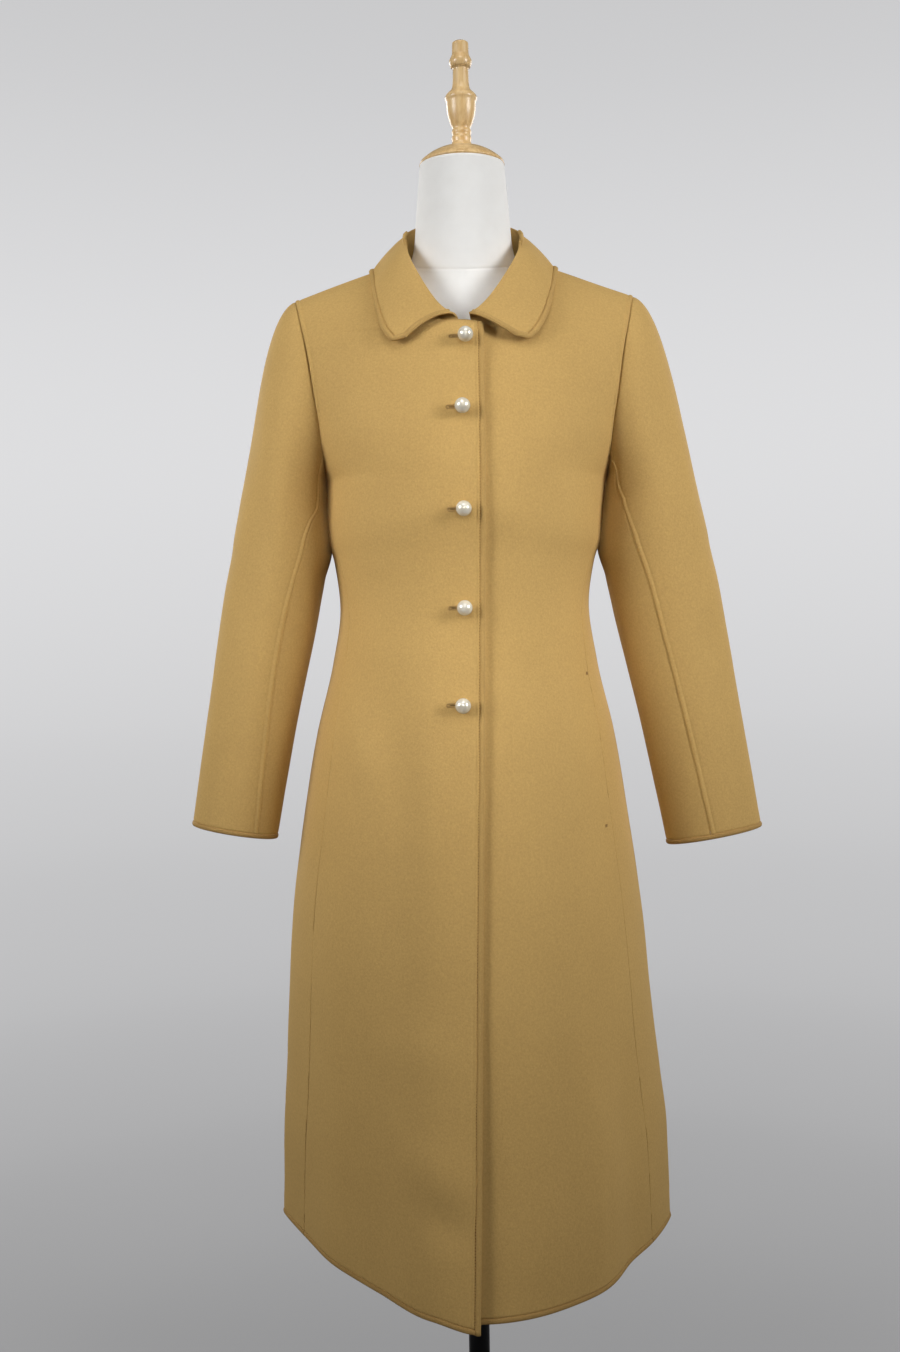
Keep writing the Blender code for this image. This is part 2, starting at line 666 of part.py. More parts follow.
def collar_half(side):
    line = neckline(side)
    places = np.linspace(0, 1, COLLAR_ALONG)
    seam = at_distances(line, places * lengths(line)[-1])
    half = np.array([collar_profile(place, neck) for place, neck in zip(places, seam)])
    half = mirrored(half, side)
    shift = COLLAR_SWING["right" if side < 0 else "left"]
    sideways = np.interp(COLLAR_PROFILE, COLLAR_SWING["place"], shift)
    half[..., 0] += ramp(0.5, 1.0, places)[:, None] * sideways
    swell = np.sin(math.pi * np.clip(np.array(COLLAR_PROFILE) - 1, 0, 1))
    end = ramp(0.82, 1.0, places)[:, None] * swell
    if side < 0:
        half[..., 2] += COLLAR_ARCH * end
    else:
        half[..., 1] -= COLLAR_OFF * end
    return half


def collar_grid(coat):
    """The collar's face, with its fall lifted to lie on the coat."""
    grid = np.concatenate([collar_half(1)[:0:-1], collar_half(-1)])
    for place in range(COLLAR_PROFILE.index(1.0), len(COLLAR_PROFILE)):
        for row in range(len(grid)):
            grid[row, place] = lifted(grid[row, place], coat, COLLAR_WALL + COLLAR_REST)
    return grid


def lifted(point, coat, least):
    """The point, moved out where it is nearer to the coat than this."""
    spot, normal, _, _ = coat.find_nearest(Vector(point))
    height = (Vector(point) - spot).dot(normal)
    return point + np.array(normal) * max(0.0, least - height)


def surface_tree(grids):
    """A search tree over the outer faces of several grids."""
    points, faces = [], []
    for grid in grids:
        rows, columns = grid.shape[:2]
        first = len(points)
        points += [Vector(point) for point in grid.reshape(-1, 3)]
        for row in range(rows - 1):
            for place in range(columns - 1):
                corner = first + row * columns + place
                faces.append((corner, corner + 1, corner + columns + 1, corner + columns))
    return BVHTree.FromPolygons(points, faces)


def grid_normals(grid):
    return unit(np.cross(np.gradient(grid, axis=1), np.gradient(grid, axis=0)))


def collar_binding_grid(grid):
    """A narrow strip on the collar's face, along its front ends and outer edge."""
    normals = grid_normals(grid)
    first = COLLAR_PROFILE.index(1.6)
    edge = np.concatenate([grid[0, first:-1], grid[:, -1], grid[-1, -2 : first - 1 : -1]])
    normal = np.concatenate([normals[0, first:-1], normals[:, -1], normals[-1, -2 : first - 1 : -1]])
    along = unit(np.gradient(edge, axis=0))
    inward = unit(np.cross(normal, along))
    raised = edge + normal * COLLAR_EDGE_RISE
    insets = (0.0002, BINDING_WIDTH / 2, BINDING_WIDTH)
    strip = np.stack([raised + inward * inset for inset in insets], axis=1)
    tree = surface_tree([grid])
    return np.array([[lifted(point, tree, COLLAR_EDGE_RISE) for point in row] for row in strip])


def clear_scene():
    for obj in list(bpy.data.objects):
        bpy.data.objects.remove(obj, do_unlink=True)


def material(name, colour, roughness, metallic=0.0):
    made = bpy.data.materials.new(name)
    made.use_nodes = True
    shader = made.node_tree.nodes["Principled BSDF"]
    shader.inputs["Base Color"].default_value = (*colour, 1.0)
    shader.inputs["Roughness"].default_value = roughness
    shader.inputs["Metallic"].default_value = metallic
    return made


def add_object(name, mesh, collection, finish):
    mesh.materials.append(finish)
    mesh.shade_smooth()
    obj = bpy.data.objects.new(name, mesh)
    collection.objects.link(obj)
    return obj


def solidify(obj, thickness):
    wall = obj.modifiers.new("Wall", "SOLIDIFY")
    wall.thickness = thickness
    wall.offset = -1.0


def cloth_sheet(name, grids, wall, collection, finish, proud=0.0):
    """A sheet of cloth: primitive grids whose corners are moved to the panel's points, with a wall.

    The points are the sheet's outer side, and grids that share a line of points are joined along it.
    """
    shape = bmesh.new()
    for grid in grids:
        grid = grid + grid_normals(grid) * proud
        rows, columns = grid.shape[:2]
        made = bmesh.ops.create_grid(shape, x_segments=columns - 1, y_segments=rows - 1, size=1.0)
        for corner in made["verts"]:
            place = round((corner.co.x + 1) / 2 * (columns - 1))
            row = round((corner.co.y + 1) / 2 * (rows - 1))
            corner.co = Vector(grid[row, place])
    bmesh.ops.remove_doubles(shape, verts=shape.verts, dist=0.00001)
    mesh = bpy.data.meshes.new(name)
    shape.to_mesh(mesh)
    shape.free()
    obj = add_object(name, mesh, collection, finish)
    solidify(obj, wall)
    return obj


def cloth_ring(name, rings, wall, collection, finish):
    """A closed band of cloth: an open cylinder whose two rings are moved to the band's edges."""
    sides = rings.shape[1]
    shape = bmesh.new()
    bmesh.ops.create_cone(shape, cap_ends=False, segments=sides, radius1=1, radius2=1, depth=2)
    for corner in shape.verts:
        turn = math.atan2(corner.co.y, corner.co.x) / (2 * math.pi) * sides
        corner.co = Vector(rings[0 if corner.co.z < 0 else 1, round(turn) % sides])
    mesh = bpy.data.meshes.new(name)
    shape.to_mesh(mesh)
    shape.free()
    obj = add_object(name, mesh, collection, finish)
    solidify(obj, wall)
    return obj


def turned(name, radii, heights, sides, collection, finish):
    """A turned solid: its outer line from the top down, closed on the axis, spun by a Screw."""
    line = [(0.0, heights[0]), *zip(radii, heights), (0.0, heights[-1])]
    mesh = bpy.data.meshes.new(name)
    points = [(radius, 0.0, height) for radius, height in line]
    mesh.from_pydata(points, [(i, i + 1) for i in range(len(points) - 1)], [])
    obj = add_object(name, mesh, collection, finish)
    spin = obj.modifiers.new("Spin", "SCREW")
    spin.steps = sides
    spin.render_steps = sides
    spin.use_merge_vertices = True
    spin.merge_threshold = 0.00005
    return obj


def make_buttons(front, collection, finish):
    """Pearl buttons on short shanks, in a row down the right front."""
    low = math.asin(SHANK_RADIUS / PEARL_RADIUS)
    turns = np.linspace(0.12 * math.pi, math.pi - low, 8)
    centre = SHANK_LENGTH + PEARL_RADIUS * math.cos(low)
    radii = [*(PEARL_RADIUS * np.sin(turns)), SHANK_RADIUS]
    heights = [*(centre + PEARL_RADIUS * np.cos(turns)), 0.0]
    cloth = surface_tree([front])
    for number, (height, inset) in enumerate(zip(BUTTONS["height"], BUTTONS["inset"]), 1):
        levels = np.linspace(height - 0.03, min(height + 0.03, FRONT_NECK), DENSE)
        lines = [front_row(-1, level) for level in levels]
        spots = np.array([mirrored(at_distances(line, [inset])[0], -1) for line in lines])
        rise = unit(np.gradient(spots, axis=0))
        nearest = int(np.argmin(np.abs(spots[:, 2] - height)))
        normal = unit(np.cross(np.array([1.0, 0.0, 0.0]), rise[nearest]))
        button = turned(f"button_{number}", radii, heights, 12, collection, finish)
        button.location = Vector(lifted(spots[nearest], cloth, 2 * SEAM_GAP))
        button.rotation_mode = "QUATERNION"
        button.rotation_quaternion = Vector(normal).to_track_quat("Z", "Y")


def make_form(collection, finish):
    """The padded body: a sphere primitive whose rings are moved to the form's sections."""
    between = (FORM["z"][:5] + FORM["z"][1:6]) / 2
    heights = np.sort(np.concatenate([FORM["z"], between]))
    rings = len(heights)
    shape = bmesh.new()
    bmesh.ops.create_uvsphere(shape, u_segments=FORM_SIDES, v_segments=rings + 1, radius=1.0)
    for corner in shape.verts:
        polar = math.acos(max(-1.0, min(1.0, -corner.co.z))) / math.pi * (rings + 1)
        ring = round(polar) - 1
        if ring < 0 or ring >= rings:
            corner.co = Vector((0.0, 0.0, FORM_BOTTOM if ring < 0 else FORM_TOP))
            continue
        height = heights[ring]
        at = {name: float(column(FORM, name, height, "z")) for name in FORM if name != "z"}
        turn = math.atan2(corner.co.y, corner.co.x)
        share = np.array([math.cos(turn)])
        depth = at["front"] if corner.co.y < 0 else at["back"]
        side = np.array([at["width"], 0.0, height])
        point = section(share, math.copysign(depth, corner.co.y), height, side, at["bow"], at["crown"])[0]
        corner.co = Vector(point)
    mesh = bpy.data.meshes.new("form_body")
    shape.to_mesh(mesh)
    shape.free()
    add_object("form_body", mesh, collection, finish)


def make_stand(collection, steel, wood):
    """What carries the form, and the turned wood on its neck."""
    foot = [0.0, BASE_EDGE, BASE_EDGE + 0.003]
    radii = [BOSS_RADIUS - 0.004, BOSS_RADIUS, BOSS_RADIUS, BASE_RADIUS - 0.004, BASE_RADIUS, BASE_RADIUS]
    heights = [BOSS_TOP, BOSS_TOP - 0.004, foot[2], foot[2], foot[1], foot[0]]
    turned("base", radii, heights, 32, collection, steel)
    pole = [FORM_BOTTOM - SEAM_GAP, BOSS_TOP + SEAM_GAP]
    turned("pole", [POLE_RADIUS, POLE_RADIUS], pole, 16, collection, steel)
    cap = turned("neck_cap", CAP_PROFILE["radius"], CAP_PROFILE["height"], 20, collection, wood)
    cap.location.z = FORM_TOP
    top = turned("finial", FINIAL_PROFILE["radius"], FINIAL_PROFILE["height"], 16, collection, wood)
    top.location.z = FORM_TOP + CAP_PROFILE["height"][0] + SEAM_GAP


def make_coat(collection, wool):
    panels = []
    for side, name in ((-1, "right"), (1, "left")):
        flip = slice(None, None, -1) if side < 0 else slice(None)
        front = front_grid(side)[:, flip]
        panels.append(front)
        cloth_sheet(f"front_{name}", [front], WALL, collection, wool)
        edge = front_edge_grid(side)[:, flip]
        cloth_sheet(f"front_{name}_edge", [edge], BINDING_WALL, collection, wool, BINDING_PROUD)
        hem = hem_grid(side)[:, flip]
        cloth_sheet(f"front_{name}_hem", [hem], BINDING_WALL, collection, wool, BINDING_PROUD)
        for under, part in ((False, "upper"), (True, "under")):
            sleeve = sleeve_grid(side, under)[::-1, flip]
            cloth_sheet(f"sleeve_{part}_{name}", [sleeve], WALL, collection, wool)
        cuff = cuff_rings(side)
        cuff = cuff if side > 0 else cuff[:, ::-1]
        cloth_ring(f"cuff_{name}", cuff, BINDING_WALL, collection, wool)
    back = [back_grid(-1)[:, ::-1], back_grid(1)]
    panels += back
    cloth_sheet("back", back, WALL, collection, wool)
    cloth_sheet("back_hem", [hem_grid()[:, ::-1]], BINDING_WALL, collection, wool, BINDING_PROUD)
    collar = collar_grid(surface_tree(panels))
    cloth_sheet("collar", [collar], COLLAR_WALL, collection, wool)
    cloth_sheet("collar_edge", [collar_binding_grid(collar)], COLLAR_EDGE_WALL, collection, wool)


def main():
    clear_scene()
    collection = bpy.data.collections.new("wool_coat_on_dress_form")
    bpy.context.scene.collection.children.link(collection)
    wool = material("camel_wool", (0.52, 0.33, 0.12), 0.85)
    pearl = material("pearl", (0.86, 0.82, 0.74), 0.18)
    calico = material("form_cloth", (0.80, 0.79, 0.76), 0.8)
    wood = material("pale_wood", (0.72, 0.47, 0.20), 0.4)
    steel = material("black_steel", (0.02, 0.02, 0.022), 0.45, 0.6)
    make_coat(collection, wool)
    make_buttons(front_grid(-1)[:, ::-1], collection, pearl)
    make_form(collection, calico)
    make_stand(collection, steel, wood)


main()
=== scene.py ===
# %% [markdown]
# # A camel wool coat on a dress form
# The coat is cut in double-faced wool: two thin layers woven as one thick, soft cloth that needs no lining.
# The CAD solids already have the right size and place. This lesson keeps them as a frame and makes each
# soft piece again as a thin, finely divided shell. Then it adds the sewing, the finishes, the light and a
# camera. Lengths are metres, +Z is up, the coat's front faces -Y, and right and left are the wearer's.

# %% Load the frame
import math

import bmesh
import bpy
import numpy as np
from mathutils import Matrix, Vector, noise
from mathutils.bvhtree import BVHTree


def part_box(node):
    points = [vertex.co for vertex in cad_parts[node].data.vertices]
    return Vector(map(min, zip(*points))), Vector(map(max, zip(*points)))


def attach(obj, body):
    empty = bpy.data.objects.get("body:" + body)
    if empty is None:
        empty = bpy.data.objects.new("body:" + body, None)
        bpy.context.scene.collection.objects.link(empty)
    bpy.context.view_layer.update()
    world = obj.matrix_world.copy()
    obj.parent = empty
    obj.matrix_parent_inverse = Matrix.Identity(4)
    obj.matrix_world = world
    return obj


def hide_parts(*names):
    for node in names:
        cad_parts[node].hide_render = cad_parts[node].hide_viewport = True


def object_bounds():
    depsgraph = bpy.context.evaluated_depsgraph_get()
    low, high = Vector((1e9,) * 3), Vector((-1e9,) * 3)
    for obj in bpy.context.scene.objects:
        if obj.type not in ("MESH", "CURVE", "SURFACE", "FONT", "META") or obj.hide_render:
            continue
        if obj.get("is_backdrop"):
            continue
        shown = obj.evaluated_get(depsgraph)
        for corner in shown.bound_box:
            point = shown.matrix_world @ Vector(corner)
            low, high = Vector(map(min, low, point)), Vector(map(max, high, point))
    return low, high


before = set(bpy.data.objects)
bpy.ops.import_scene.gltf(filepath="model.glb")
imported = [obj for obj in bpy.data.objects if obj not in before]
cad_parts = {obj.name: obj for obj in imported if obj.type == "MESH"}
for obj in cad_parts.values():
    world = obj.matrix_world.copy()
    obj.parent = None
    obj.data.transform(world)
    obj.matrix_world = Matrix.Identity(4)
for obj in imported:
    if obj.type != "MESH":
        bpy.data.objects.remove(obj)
cad_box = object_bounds()
print("CAD nodes:", len(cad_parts))

# %% [markdown]
# ## Camera
# The picture is taken from the front, a little below the collar, with the camera held slightly askew.
# Three turns about the axes could aim the camera, but they mix. Here its place, its tilt down and its own
# turn are separate matrices, multiplied in that order, so each can be changed without the others.

# %% Camera
PICTURE_HEIGHT = 1352
FOCAL_PIXELS = 1432
SENSOR_MM = 36.0
CAMERA_PLACE = (-0.0221, -1.62, 1.005)
CAMERA_DOWN = 2.6
CAMERA_ASKEW = -0.888

camera_data = bpy.data.cameras.new("camera")
camera_data.sensor_width = SENSOR_MM
camera_data.lens = SENSOR_MM * FOCAL_PIXELS / PICTURE_HEIGHT
camera = bpy.data.objects.new("camera", camera_data)
tilt = Matrix.Rotation(math.radians(90 - CAMERA_DOWN), 4, "X")
askew = Matrix.Rotation(math.radians(CAMERA_ASKEW), 4, "Z")
camera.matrix_world = Matrix.Translation(CAMERA_PLACE) @ tilt @ askew
bpy.context.scene.collection.objects.link(camera)
bpy.context.scene.camera = camera
print("lens:", round(camera_data.lens, 2), "mm")

# %% [markdown]
# ## The cut of the coat
# A shell can follow its solid in two ways: by copying the solid's points, or by repeating the rule that
# made them. The rule is better here, because it can be asked for as many points as the folds and seams
# need. So the cut's sizes come first, and then short tables with a row for each section of the body.

# %% Sizes of the cloth
# The wearer's right side has x below 0
NAMES = {-1: "right", 1: "left"}
WALL = 0.0024
BINDING_TUCK = 0.0004
SEAM_GAP = 0.00004
BINDING_WIDTH = 0.006
HEM = 0.310
ARMPIT = 1.150
FRONT_NECK = 1.312
NECK_TURN = 1.330
BACK_NECK = 1.385
SHOULDER = 1.420
# The fronts reach past the centre line, and the right one's edge slants back to it towards the hem. The
# slant would end a little below the floor.
RIGHT_EDGE_TOP = 0.019
RIGHT_EDGE_LOW = -0.005
EDGE_LOW = -0.040
LEFT_EDGE = 0.022
# The right front lies on the left one, swings out at the hem, and hangs lowest at its tip
LAP_LIFT = 0.0042
LAP_FLAT = 0.048
LAP_FADE = 0.075
HEM_SWING = 0.006
HEM_SWING_TOP = 0.62
TIP_DROP = 0.006
TIP_DROP_TOP = 0.55
# The hem hangs a little lower on one side
HEM_TILT = 0.006
HEM_TILT_TOP = 0.65
# A flute fades out over most of its height at the top, and over this length below its foot
FLUTE_KEPT = 0.3
FLUTE_FOOT = 0.25
DENSE = 200


def table(columns, *rows):
    """Named columns of a short table, each as an array with one value for each row."""
    return {name: np.array(values) for name, values in zip(columns.split(), zip(*rows))}


print("coat from", HEM, "to", SHOULDER, "m, cloth", 1000 * WALL, "mm thick")

# %% Sections of the body
SIDE = table(
    "level width_right width_left seam",
    (0.310, 0.2230, 0.2225, 0.87),
    (0.420, 0.2200, 0.2190, 0.86),
    (0.480, 0.2160, 0.2120, 0.855),
    (0.540, 0.2130, 0.2045, 0.85),
    (0.660, 0.2055, 0.1930, 0.85),
    (0.785, 0.1885, 0.1760, 0.85),
    (0.868, 0.1735, 0.1625, 0.86),
    (0.949, 0.1535, 0.1440, 0.88),
    (1.010, 0.1445, 0.1355, 0.91),
    (1.060, 0.1500, 0.1420, 0.94),
    (1.085, 0.1558, 0.1496, 0.955),
    (1.107, 0.1574, 0.1512, 0.97),
    (1.150, 0.1570, 0.1570, 1.00),
)
FRONT = table(
    "level centre_y centre_z bow_right bow_left crown start",
    (0.310, -0.2130, 0.2880, 1.62, 2.05, 1.12, 0.0),
    (0.420, -0.1980, 0.4060, 1.70, 2.15, 1.20, 0.0),
    (0.540, -0.1830, 0.5330, 1.80, 2.15, 1.35, 0.0),
    (0.660, -0.1680, 0.6570, 1.95, 2.25, 1.50, 0.0),
    (0.785, -0.1520, 0.7840, 2.05, 2.20, 1.65, 0.0),
    (0.868, -0.1390, 0.8680, 2.10, 2.15, 1.75, 0.0),
    (0.949, -0.1240, 0.9490, 2.15, 2.15, 1.85, 0.0),
    (1.010, -0.1160, 1.0100, 2.20, 2.20, 1.95, 0.0),
    (1.060, -0.1190, 1.0600, 2.20, 2.20, 1.95, 0.0),
    (1.107, -0.1260, 1.1080, 2.20, 2.20, 1.95, 0.0),
    (1.150, -0.1270, 1.1530, 2.20, 2.20, 1.90, 0.0),
    (1.185, -0.1235, 1.1930, 2.20, 2.20, 1.70, 0.0),
    (1.225, -0.1140, 1.2360, 2.10, 2.10, 1.50, 0.0),
    (1.270, -0.1020, 1.2770, 2.00, 2.00, 1.35, 0.0),
    (1.312, -0.0890, 1.3100, 1.90, 1.90, 1.25, 0.0),
    (1.330, -0.0865, 1.3135, 1.75, 1.75, 1.10, 0.022),
    (1.350, -0.0790, 1.3310, 1.60, 1.60, 1.00, 0.044),
    (1.368, -0.0660, 1.3530, 1.40, 1.40, 1.00, 0.058),
    (1.385, -0.0500, 1.3790, 1.25, 1.25, 1.00, 0.065),
    (1.405, -0.0220, 1.4125, 1.05, 1.05, 1.00, 0.0705),
    (1.416, -0.0050, 1.4168, 1.00, 1.00, 1.00, 0.0718),
    (1.420, 0.0000, 1.4170, 1.00, 1.00, 1.00, 0.072),
)
FRONT_ARMHOLE = table(
    "level x y z",
    (1.150, 0.1570, 0.000, 1.150),
    (1.185, 0.1560, -0.032, 1.166),
    (1.225, 0.1585, -0.053, 1.200),
    (1.270, 0.1650, -0.059, 1.243),
    (1.312, 0.1720, -0.053, 1.286),
    (1.350, 0.1800, -0.038, 1.322),
    (1.385, 0.1855, -0.022, 1.3445),
    (1.405, 0.1880, -0.010, 1.3510),
    (1.416, 0.1885, -0.003, 1.3519),
    (1.420, 0.1885, 0.000, 1.352),
)
BACK = table(
    "level centre_y centre_z bow crown start",
    (0.310, 0.1650, 0.3060, 2.20, 1.40, 0.0),
    (0.420, 0.1510, 0.4190, 2.25, 1.45, 0.0),
    (0.540, 0.1380, 0.5400, 2.30, 1.55, 0.0),
    (0.660, 0.1260, 0.6600, 2.35, 1.65, 0.0),
    (0.785, 0.1120, 0.7850, 2.40, 1.75, 0.0),
    (0.868, 0.1000, 0.8680, 2.40, 1.80, 0.0),
    (0.949, 0.0840, 0.9490, 2.40, 1.85, 0.0),
    (1.010, 0.0770, 1.0100, 2.40, 1.90, 0.0),
    (1.060, 0.0820, 1.0600, 2.40, 1.95, 0.0),
    (1.107, 0.0890, 1.1070, 2.50, 2.00, 0.0),
    (1.150, 0.0950, 1.1520, 2.60, 2.00, 0.0),
    (1.185, 0.0985, 1.1980, 2.60, 1.85, 0.0),
    (1.225, 0.1010, 1.2450, 2.50, 1.65, 0.0),
    (1.270, 0.0990, 1.2950, 2.30, 1.50, 0.0),
    (1.312, 0.0900, 1.3400, 2.10, 1.35, 0.0),
    (1.350, 0.0770, 1.3780, 1.80, 1.20, 0.0),
    (1.385, 0.0630, 1.4060, 1.50, 1.05, 0.0),
    (1.393, 0.0600, 1.4090, 1.40, 1.02, 0.030),
    (1.400, 0.0530, 1.4115, 1.25, 1.00, 0.048),
    (1.408, 0.0390, 1.4140, 1.10, 1.00, 0.062),
    (1.416, 0.0080, 1.4168, 1.00, 1.00, 0.0715),
    (1.420, 0.0000, 1.4170, 1.00, 1.00, 0.072),
)
BACK_ARMHOLE = table(
    "level x y z",
    (1.150, 0.1570, 0.000, 1.150),
    (1.185, 0.1570, 0.034, 1.167),
    (1.225, 0.1610, 0.056, 1.203),
    (1.270, 0.1680, 0.060, 1.250),
    (1.312, 0.1760, 0.050, 1.295),
    (1.350, 0.1830, 0.032, 1.331),
    (1.385, 0.1868, 0.018, 1.3470),
    (1.405, 0.1882, 0.008, 1.3514),
    (1.416, 0.1885, 0.002, 1.3519),
    (1.420, 0.1885, 0.000, 1.352),
)
FLUTES = table(
    "face share width depth top low",
    ("front", -0.42, 0.13, -0.0045, 0.97, 0.74),
    ("front", -0.70, 0.12, 0.0050, 0.92, 0.31),
    ("front", -0.46, 0.18, 0.0034, 0.60, 0.31),
    ("front", -0.20, 0.14, 0.0018, 0.66, 0.31),
    ("front", 0.36, 0.15, 0.0035, 0.95, 0.45),
    ("front", 0.57, 0.13, 0.0055, 0.64, 0.31),
    ("front", 0.76, 0.09, -0.0045, 0.60, 0.31),
    ("back", -0.62, 0.14, 0.0080, 0.88, 0.31),
    ("back", -0.32, 0.12, -0.0070, 0.82, 0.31),
    ("back", 0.04, 0.14, 0.0070, 0.86, 0.31),
    ("back", 0.40, 0.12, -0.0060, 0.80, 0.31),
    ("back", 0.68, 0.13, 0.0070, 0.90, 0.31),
)
print("body sections:", len(FRONT["level"]), "front,", len(BACK["level"]), "back")

# %% [markdown]
# ## From a table to a curve
# The cloth curves gently from one section to the next. Straight lines between the rows would show as
# facets, and a free spline could swing past a row. This curve is a cubic whose slope is held back wherever
# it would overshoot, so it stays as the table says.

# %% Curves and lines of points
def smooth(knots, values, places):
    """A curve through the rows of a table that never runs past them between two rows."""
    step = np.diff(knots)
    slope = np.diff(values) / step
    tangent = np.concatenate([slope[:1], np.zeros(len(slope) - 1), slope[-1:]])
    after, before = 2 * step[1:] + step[:-1], step[1:] + 2 * step[:-1]
    same_way = slope[:-1] * slope[1:] > 0
    safe = np.where(same_way, slope[:-1], 1.0), np.where(same_way, slope[1:], 1.0)
    mean = (after + before) / (after / safe[0] + before / safe[1])
    tangent[1:-1] = np.where(same_way, mean, 0.0)
    places = np.asarray(places, float)
    row = np.clip(np.searchsorted(knots, places, side="right") - 1, 0, len(step) - 1)
    t = (places - knots[row]) / step[row]
    rise = 3 * t**2 - 2 * t**3
    lean = (t - 2 * t**2 + t**3) * tangent[row] + (t**3 - t**2) * tangent[row + 1]
    return values[row] + (values[row + 1] - values[row]) * rise + lean * step[row]


def column(rows, name, level, key="level"):
    return smooth(rows[key], rows[name], level)


def ramp(low, high, value):
    """0 below low, 1 above high, and a soft rise between them."""
    t = np.clip((value - low) / (high - low), 0.0, 1.0)
    return t * t * (3 - 2 * t)


def unit(vectors):
    return vectors / np.linalg.norm(vectors, axis=-1, keepdims=True)


def lengths(line):
    """Distance along a line of points, from its first point."""
    steps = np.linalg.norm(np.diff(line, axis=0), axis=1)
    return np.concatenate([[0.0], np.cumsum(steps)])


def at_distances(line, distances):
    """Points of a line at these distances along it."""
    reach = lengths(line)
    return np.stack([np.interp(distances, reach, line[:, axis]) for axis in range(3)], axis=1)


def mirrored(points, side):
    return points * np.array([side, 1.0, 1.0])


def grid_normals(grid):
    return unit(np.cross(np.gradient(grid, axis=1), np.gradient(grid, axis=0)))


print("half width at the waist:", round(float(column(SIDE, "width_left", 1.01)), 4))

# %% [markdown]
# ## Levels of the body
# Each front and each half of the back is a stack of level lines. A line runs from the front edge round to
# the side, bowed like the form under it, with the skirt's large soft flutes pushed in or out of it.
# Sculpting could give the same forms, but a rule can be read again, changed and repeated.

# %% Level lines
def side_point(armhole, side, level):
    """The end of a section: on the side below the armpit, and on the armhole above it."""
    if level <= ARMPIT:
        width = column(SIDE, f"width_{NAMES[side]}", level)
        return np.array([width, 0.0, level - side * HEM_TILT * (1 - ramp(HEM, HEM_TILT_TOP, level))])
    return np.array([column(armhole, axis, level) for axis in "xyz"])


def section_shares(start):
    """Shares from a start to the side, closer together towards the side."""
    return start + (1 - start) * np.sin(np.linspace(0, math.pi / 2, DENSE))


def section(shares, centre_y, centre_z, side, bow, crown):
    """Points of one section, from the centre line at share 0 to the side at share 1."""
    reach = np.abs(shares) ** bow
    depth = 1 - np.clip(1 - reach, 0, 1) ** (1 / crown)
    x = side[0] * shares
    y = centre_y + (side[1] - centre_y) * depth
    z = centre_z + (side[2] - centre_z) * reach
    return np.stack([x, y, z], axis=1)


def outward(line):
    """Level directions that point out of a ring which is followed from the front to the back."""
    along = np.gradient(line, axis=0)
    return unit(np.stack([along[:, 1], -along[:, 0], np.zeros(len(line))], axis=1))


def fluted(line, shares, face, side, level):
    """The line with the skirt's soft ridges and troughs."""
    lift = np.zeros(len(line))
    for row in np.flatnonzero(FLUTES["face"] == face):
        top, low = FLUTES["top"][row], FLUTES["low"][row]
        here = 1 - ramp(low + FLUTE_KEPT * (top - low), top, level)
        here *= ramp(low - FLUTE_FOOT, low, level)
        bell = np.exp(-(((side * shares - FLUTES["share"][row]) / FLUTES["width"][row]) ** 2))
        lift += FLUTES["depth"][row] * here * bell
    return line + outward(line) * lift[:, None]


def front_edge(side, level):
    """How far the front's edge lies past the centre line, towards the other side."""
    if side > 0:
        return LEFT_EDGE
    return RIGHT_EDGE_LOW + (RIGHT_EDGE_TOP - RIGHT_EDGE_LOW) * ramp(EDGE_LOW, FRONT_NECK, level)


def front_line(side, level):
    """One level of a front, from its edge to the side or armhole, and the share at each point."""
    end = side_point(FRONT_ARMHOLE, side, level)
    start = column(FRONT, "start", level)
    start -= front_edge(side, level) * (1 - ramp(FRONT_NECK, NECK_TURN, level))
    shares = section_shares(start / end[0])
    bow = column(FRONT, f"bow_{NAMES[side]}", level)
    shape = [column(FRONT, name, level) for name in ("centre_y", "centre_z")]
    line = section(shares, *shape, end, bow, column(FRONT, "crown", level))
    line = fluted(line, shares, "front", side, level)
    if side < 0:
        reach = lengths(line)
        flap = 1 - ramp(LAP_FLAT, LAP_FLAT + LAP_FADE, reach)
        lift = LAP_LIFT * (1 - ramp(NECK_TURN, BACK_NECK, level))
        lift += HEM_SWING * (1 - ramp(HEM, HEM_SWING_TOP, level))
        line = line + outward(line) * (lift * flap)[:, None]
        tip = (1 - ramp(HEM, TIP_DROP_TOP, level)) * (1 - ramp(0.0, LAP_FLAT, reach))
        line[:, 2] -= TIP_DROP * tip
    return line, shares


def back_line(side, level):
    """One level of a back half, from the side or armhole to the centre of the back."""
    end = side_point(BACK_ARMHOLE, side, level)
    start = column(BACK, "start", level)
    shares = section_shares(start / end[0])[::-1]
    shape = [column(BACK, name, level) for name in ("centre_y", "centre_z")]
    line = section(shares, *shape, end, *[column(BACK, name, level) for name in ("bow", "crown")])
    return fluted(line, shares, "back", side, level)


def front_row(side, level):
    """A front's whole level, cut off at the side seam."""
    line, shares = front_line(side, level)
    seam = column(SIDE, "seam", min(level, ARMPIT))
    stop = np.interp(seam, shares, lengths(line)) - SEAM_GAP / 2
    return at_distances(line, np.linspace(0, stop, DENSE))


def back_row(side, level):
    """A back half's whole level, from the side seam round the side to the centre of the back."""
    line = back_line(side, level)
    if level < ARMPIT:
        ahead, shares = front_line(side, level)
        round_side = ahead[shares > column(SIDE, "seam", level)]
        line = np.concatenate([round_side, line[1:]])
    return at_distances(line, np.linspace(SEAM_GAP / 2, lengths(line)[-1], DENSE))


print("front at the waist, from edge to seam:", round(lengths(front_row(-1, 1.01))[-1], 4))

# %% [markdown]
# ## Grids of points
# A panel is a grid: its rows are the levels and its columns run up the cloth. Steps are about 4 mm on the
# open cloth and much smaller beside a seam, where the wool rolls over into the stitching. Even small steps
# would do as well, at many times the number of faces.

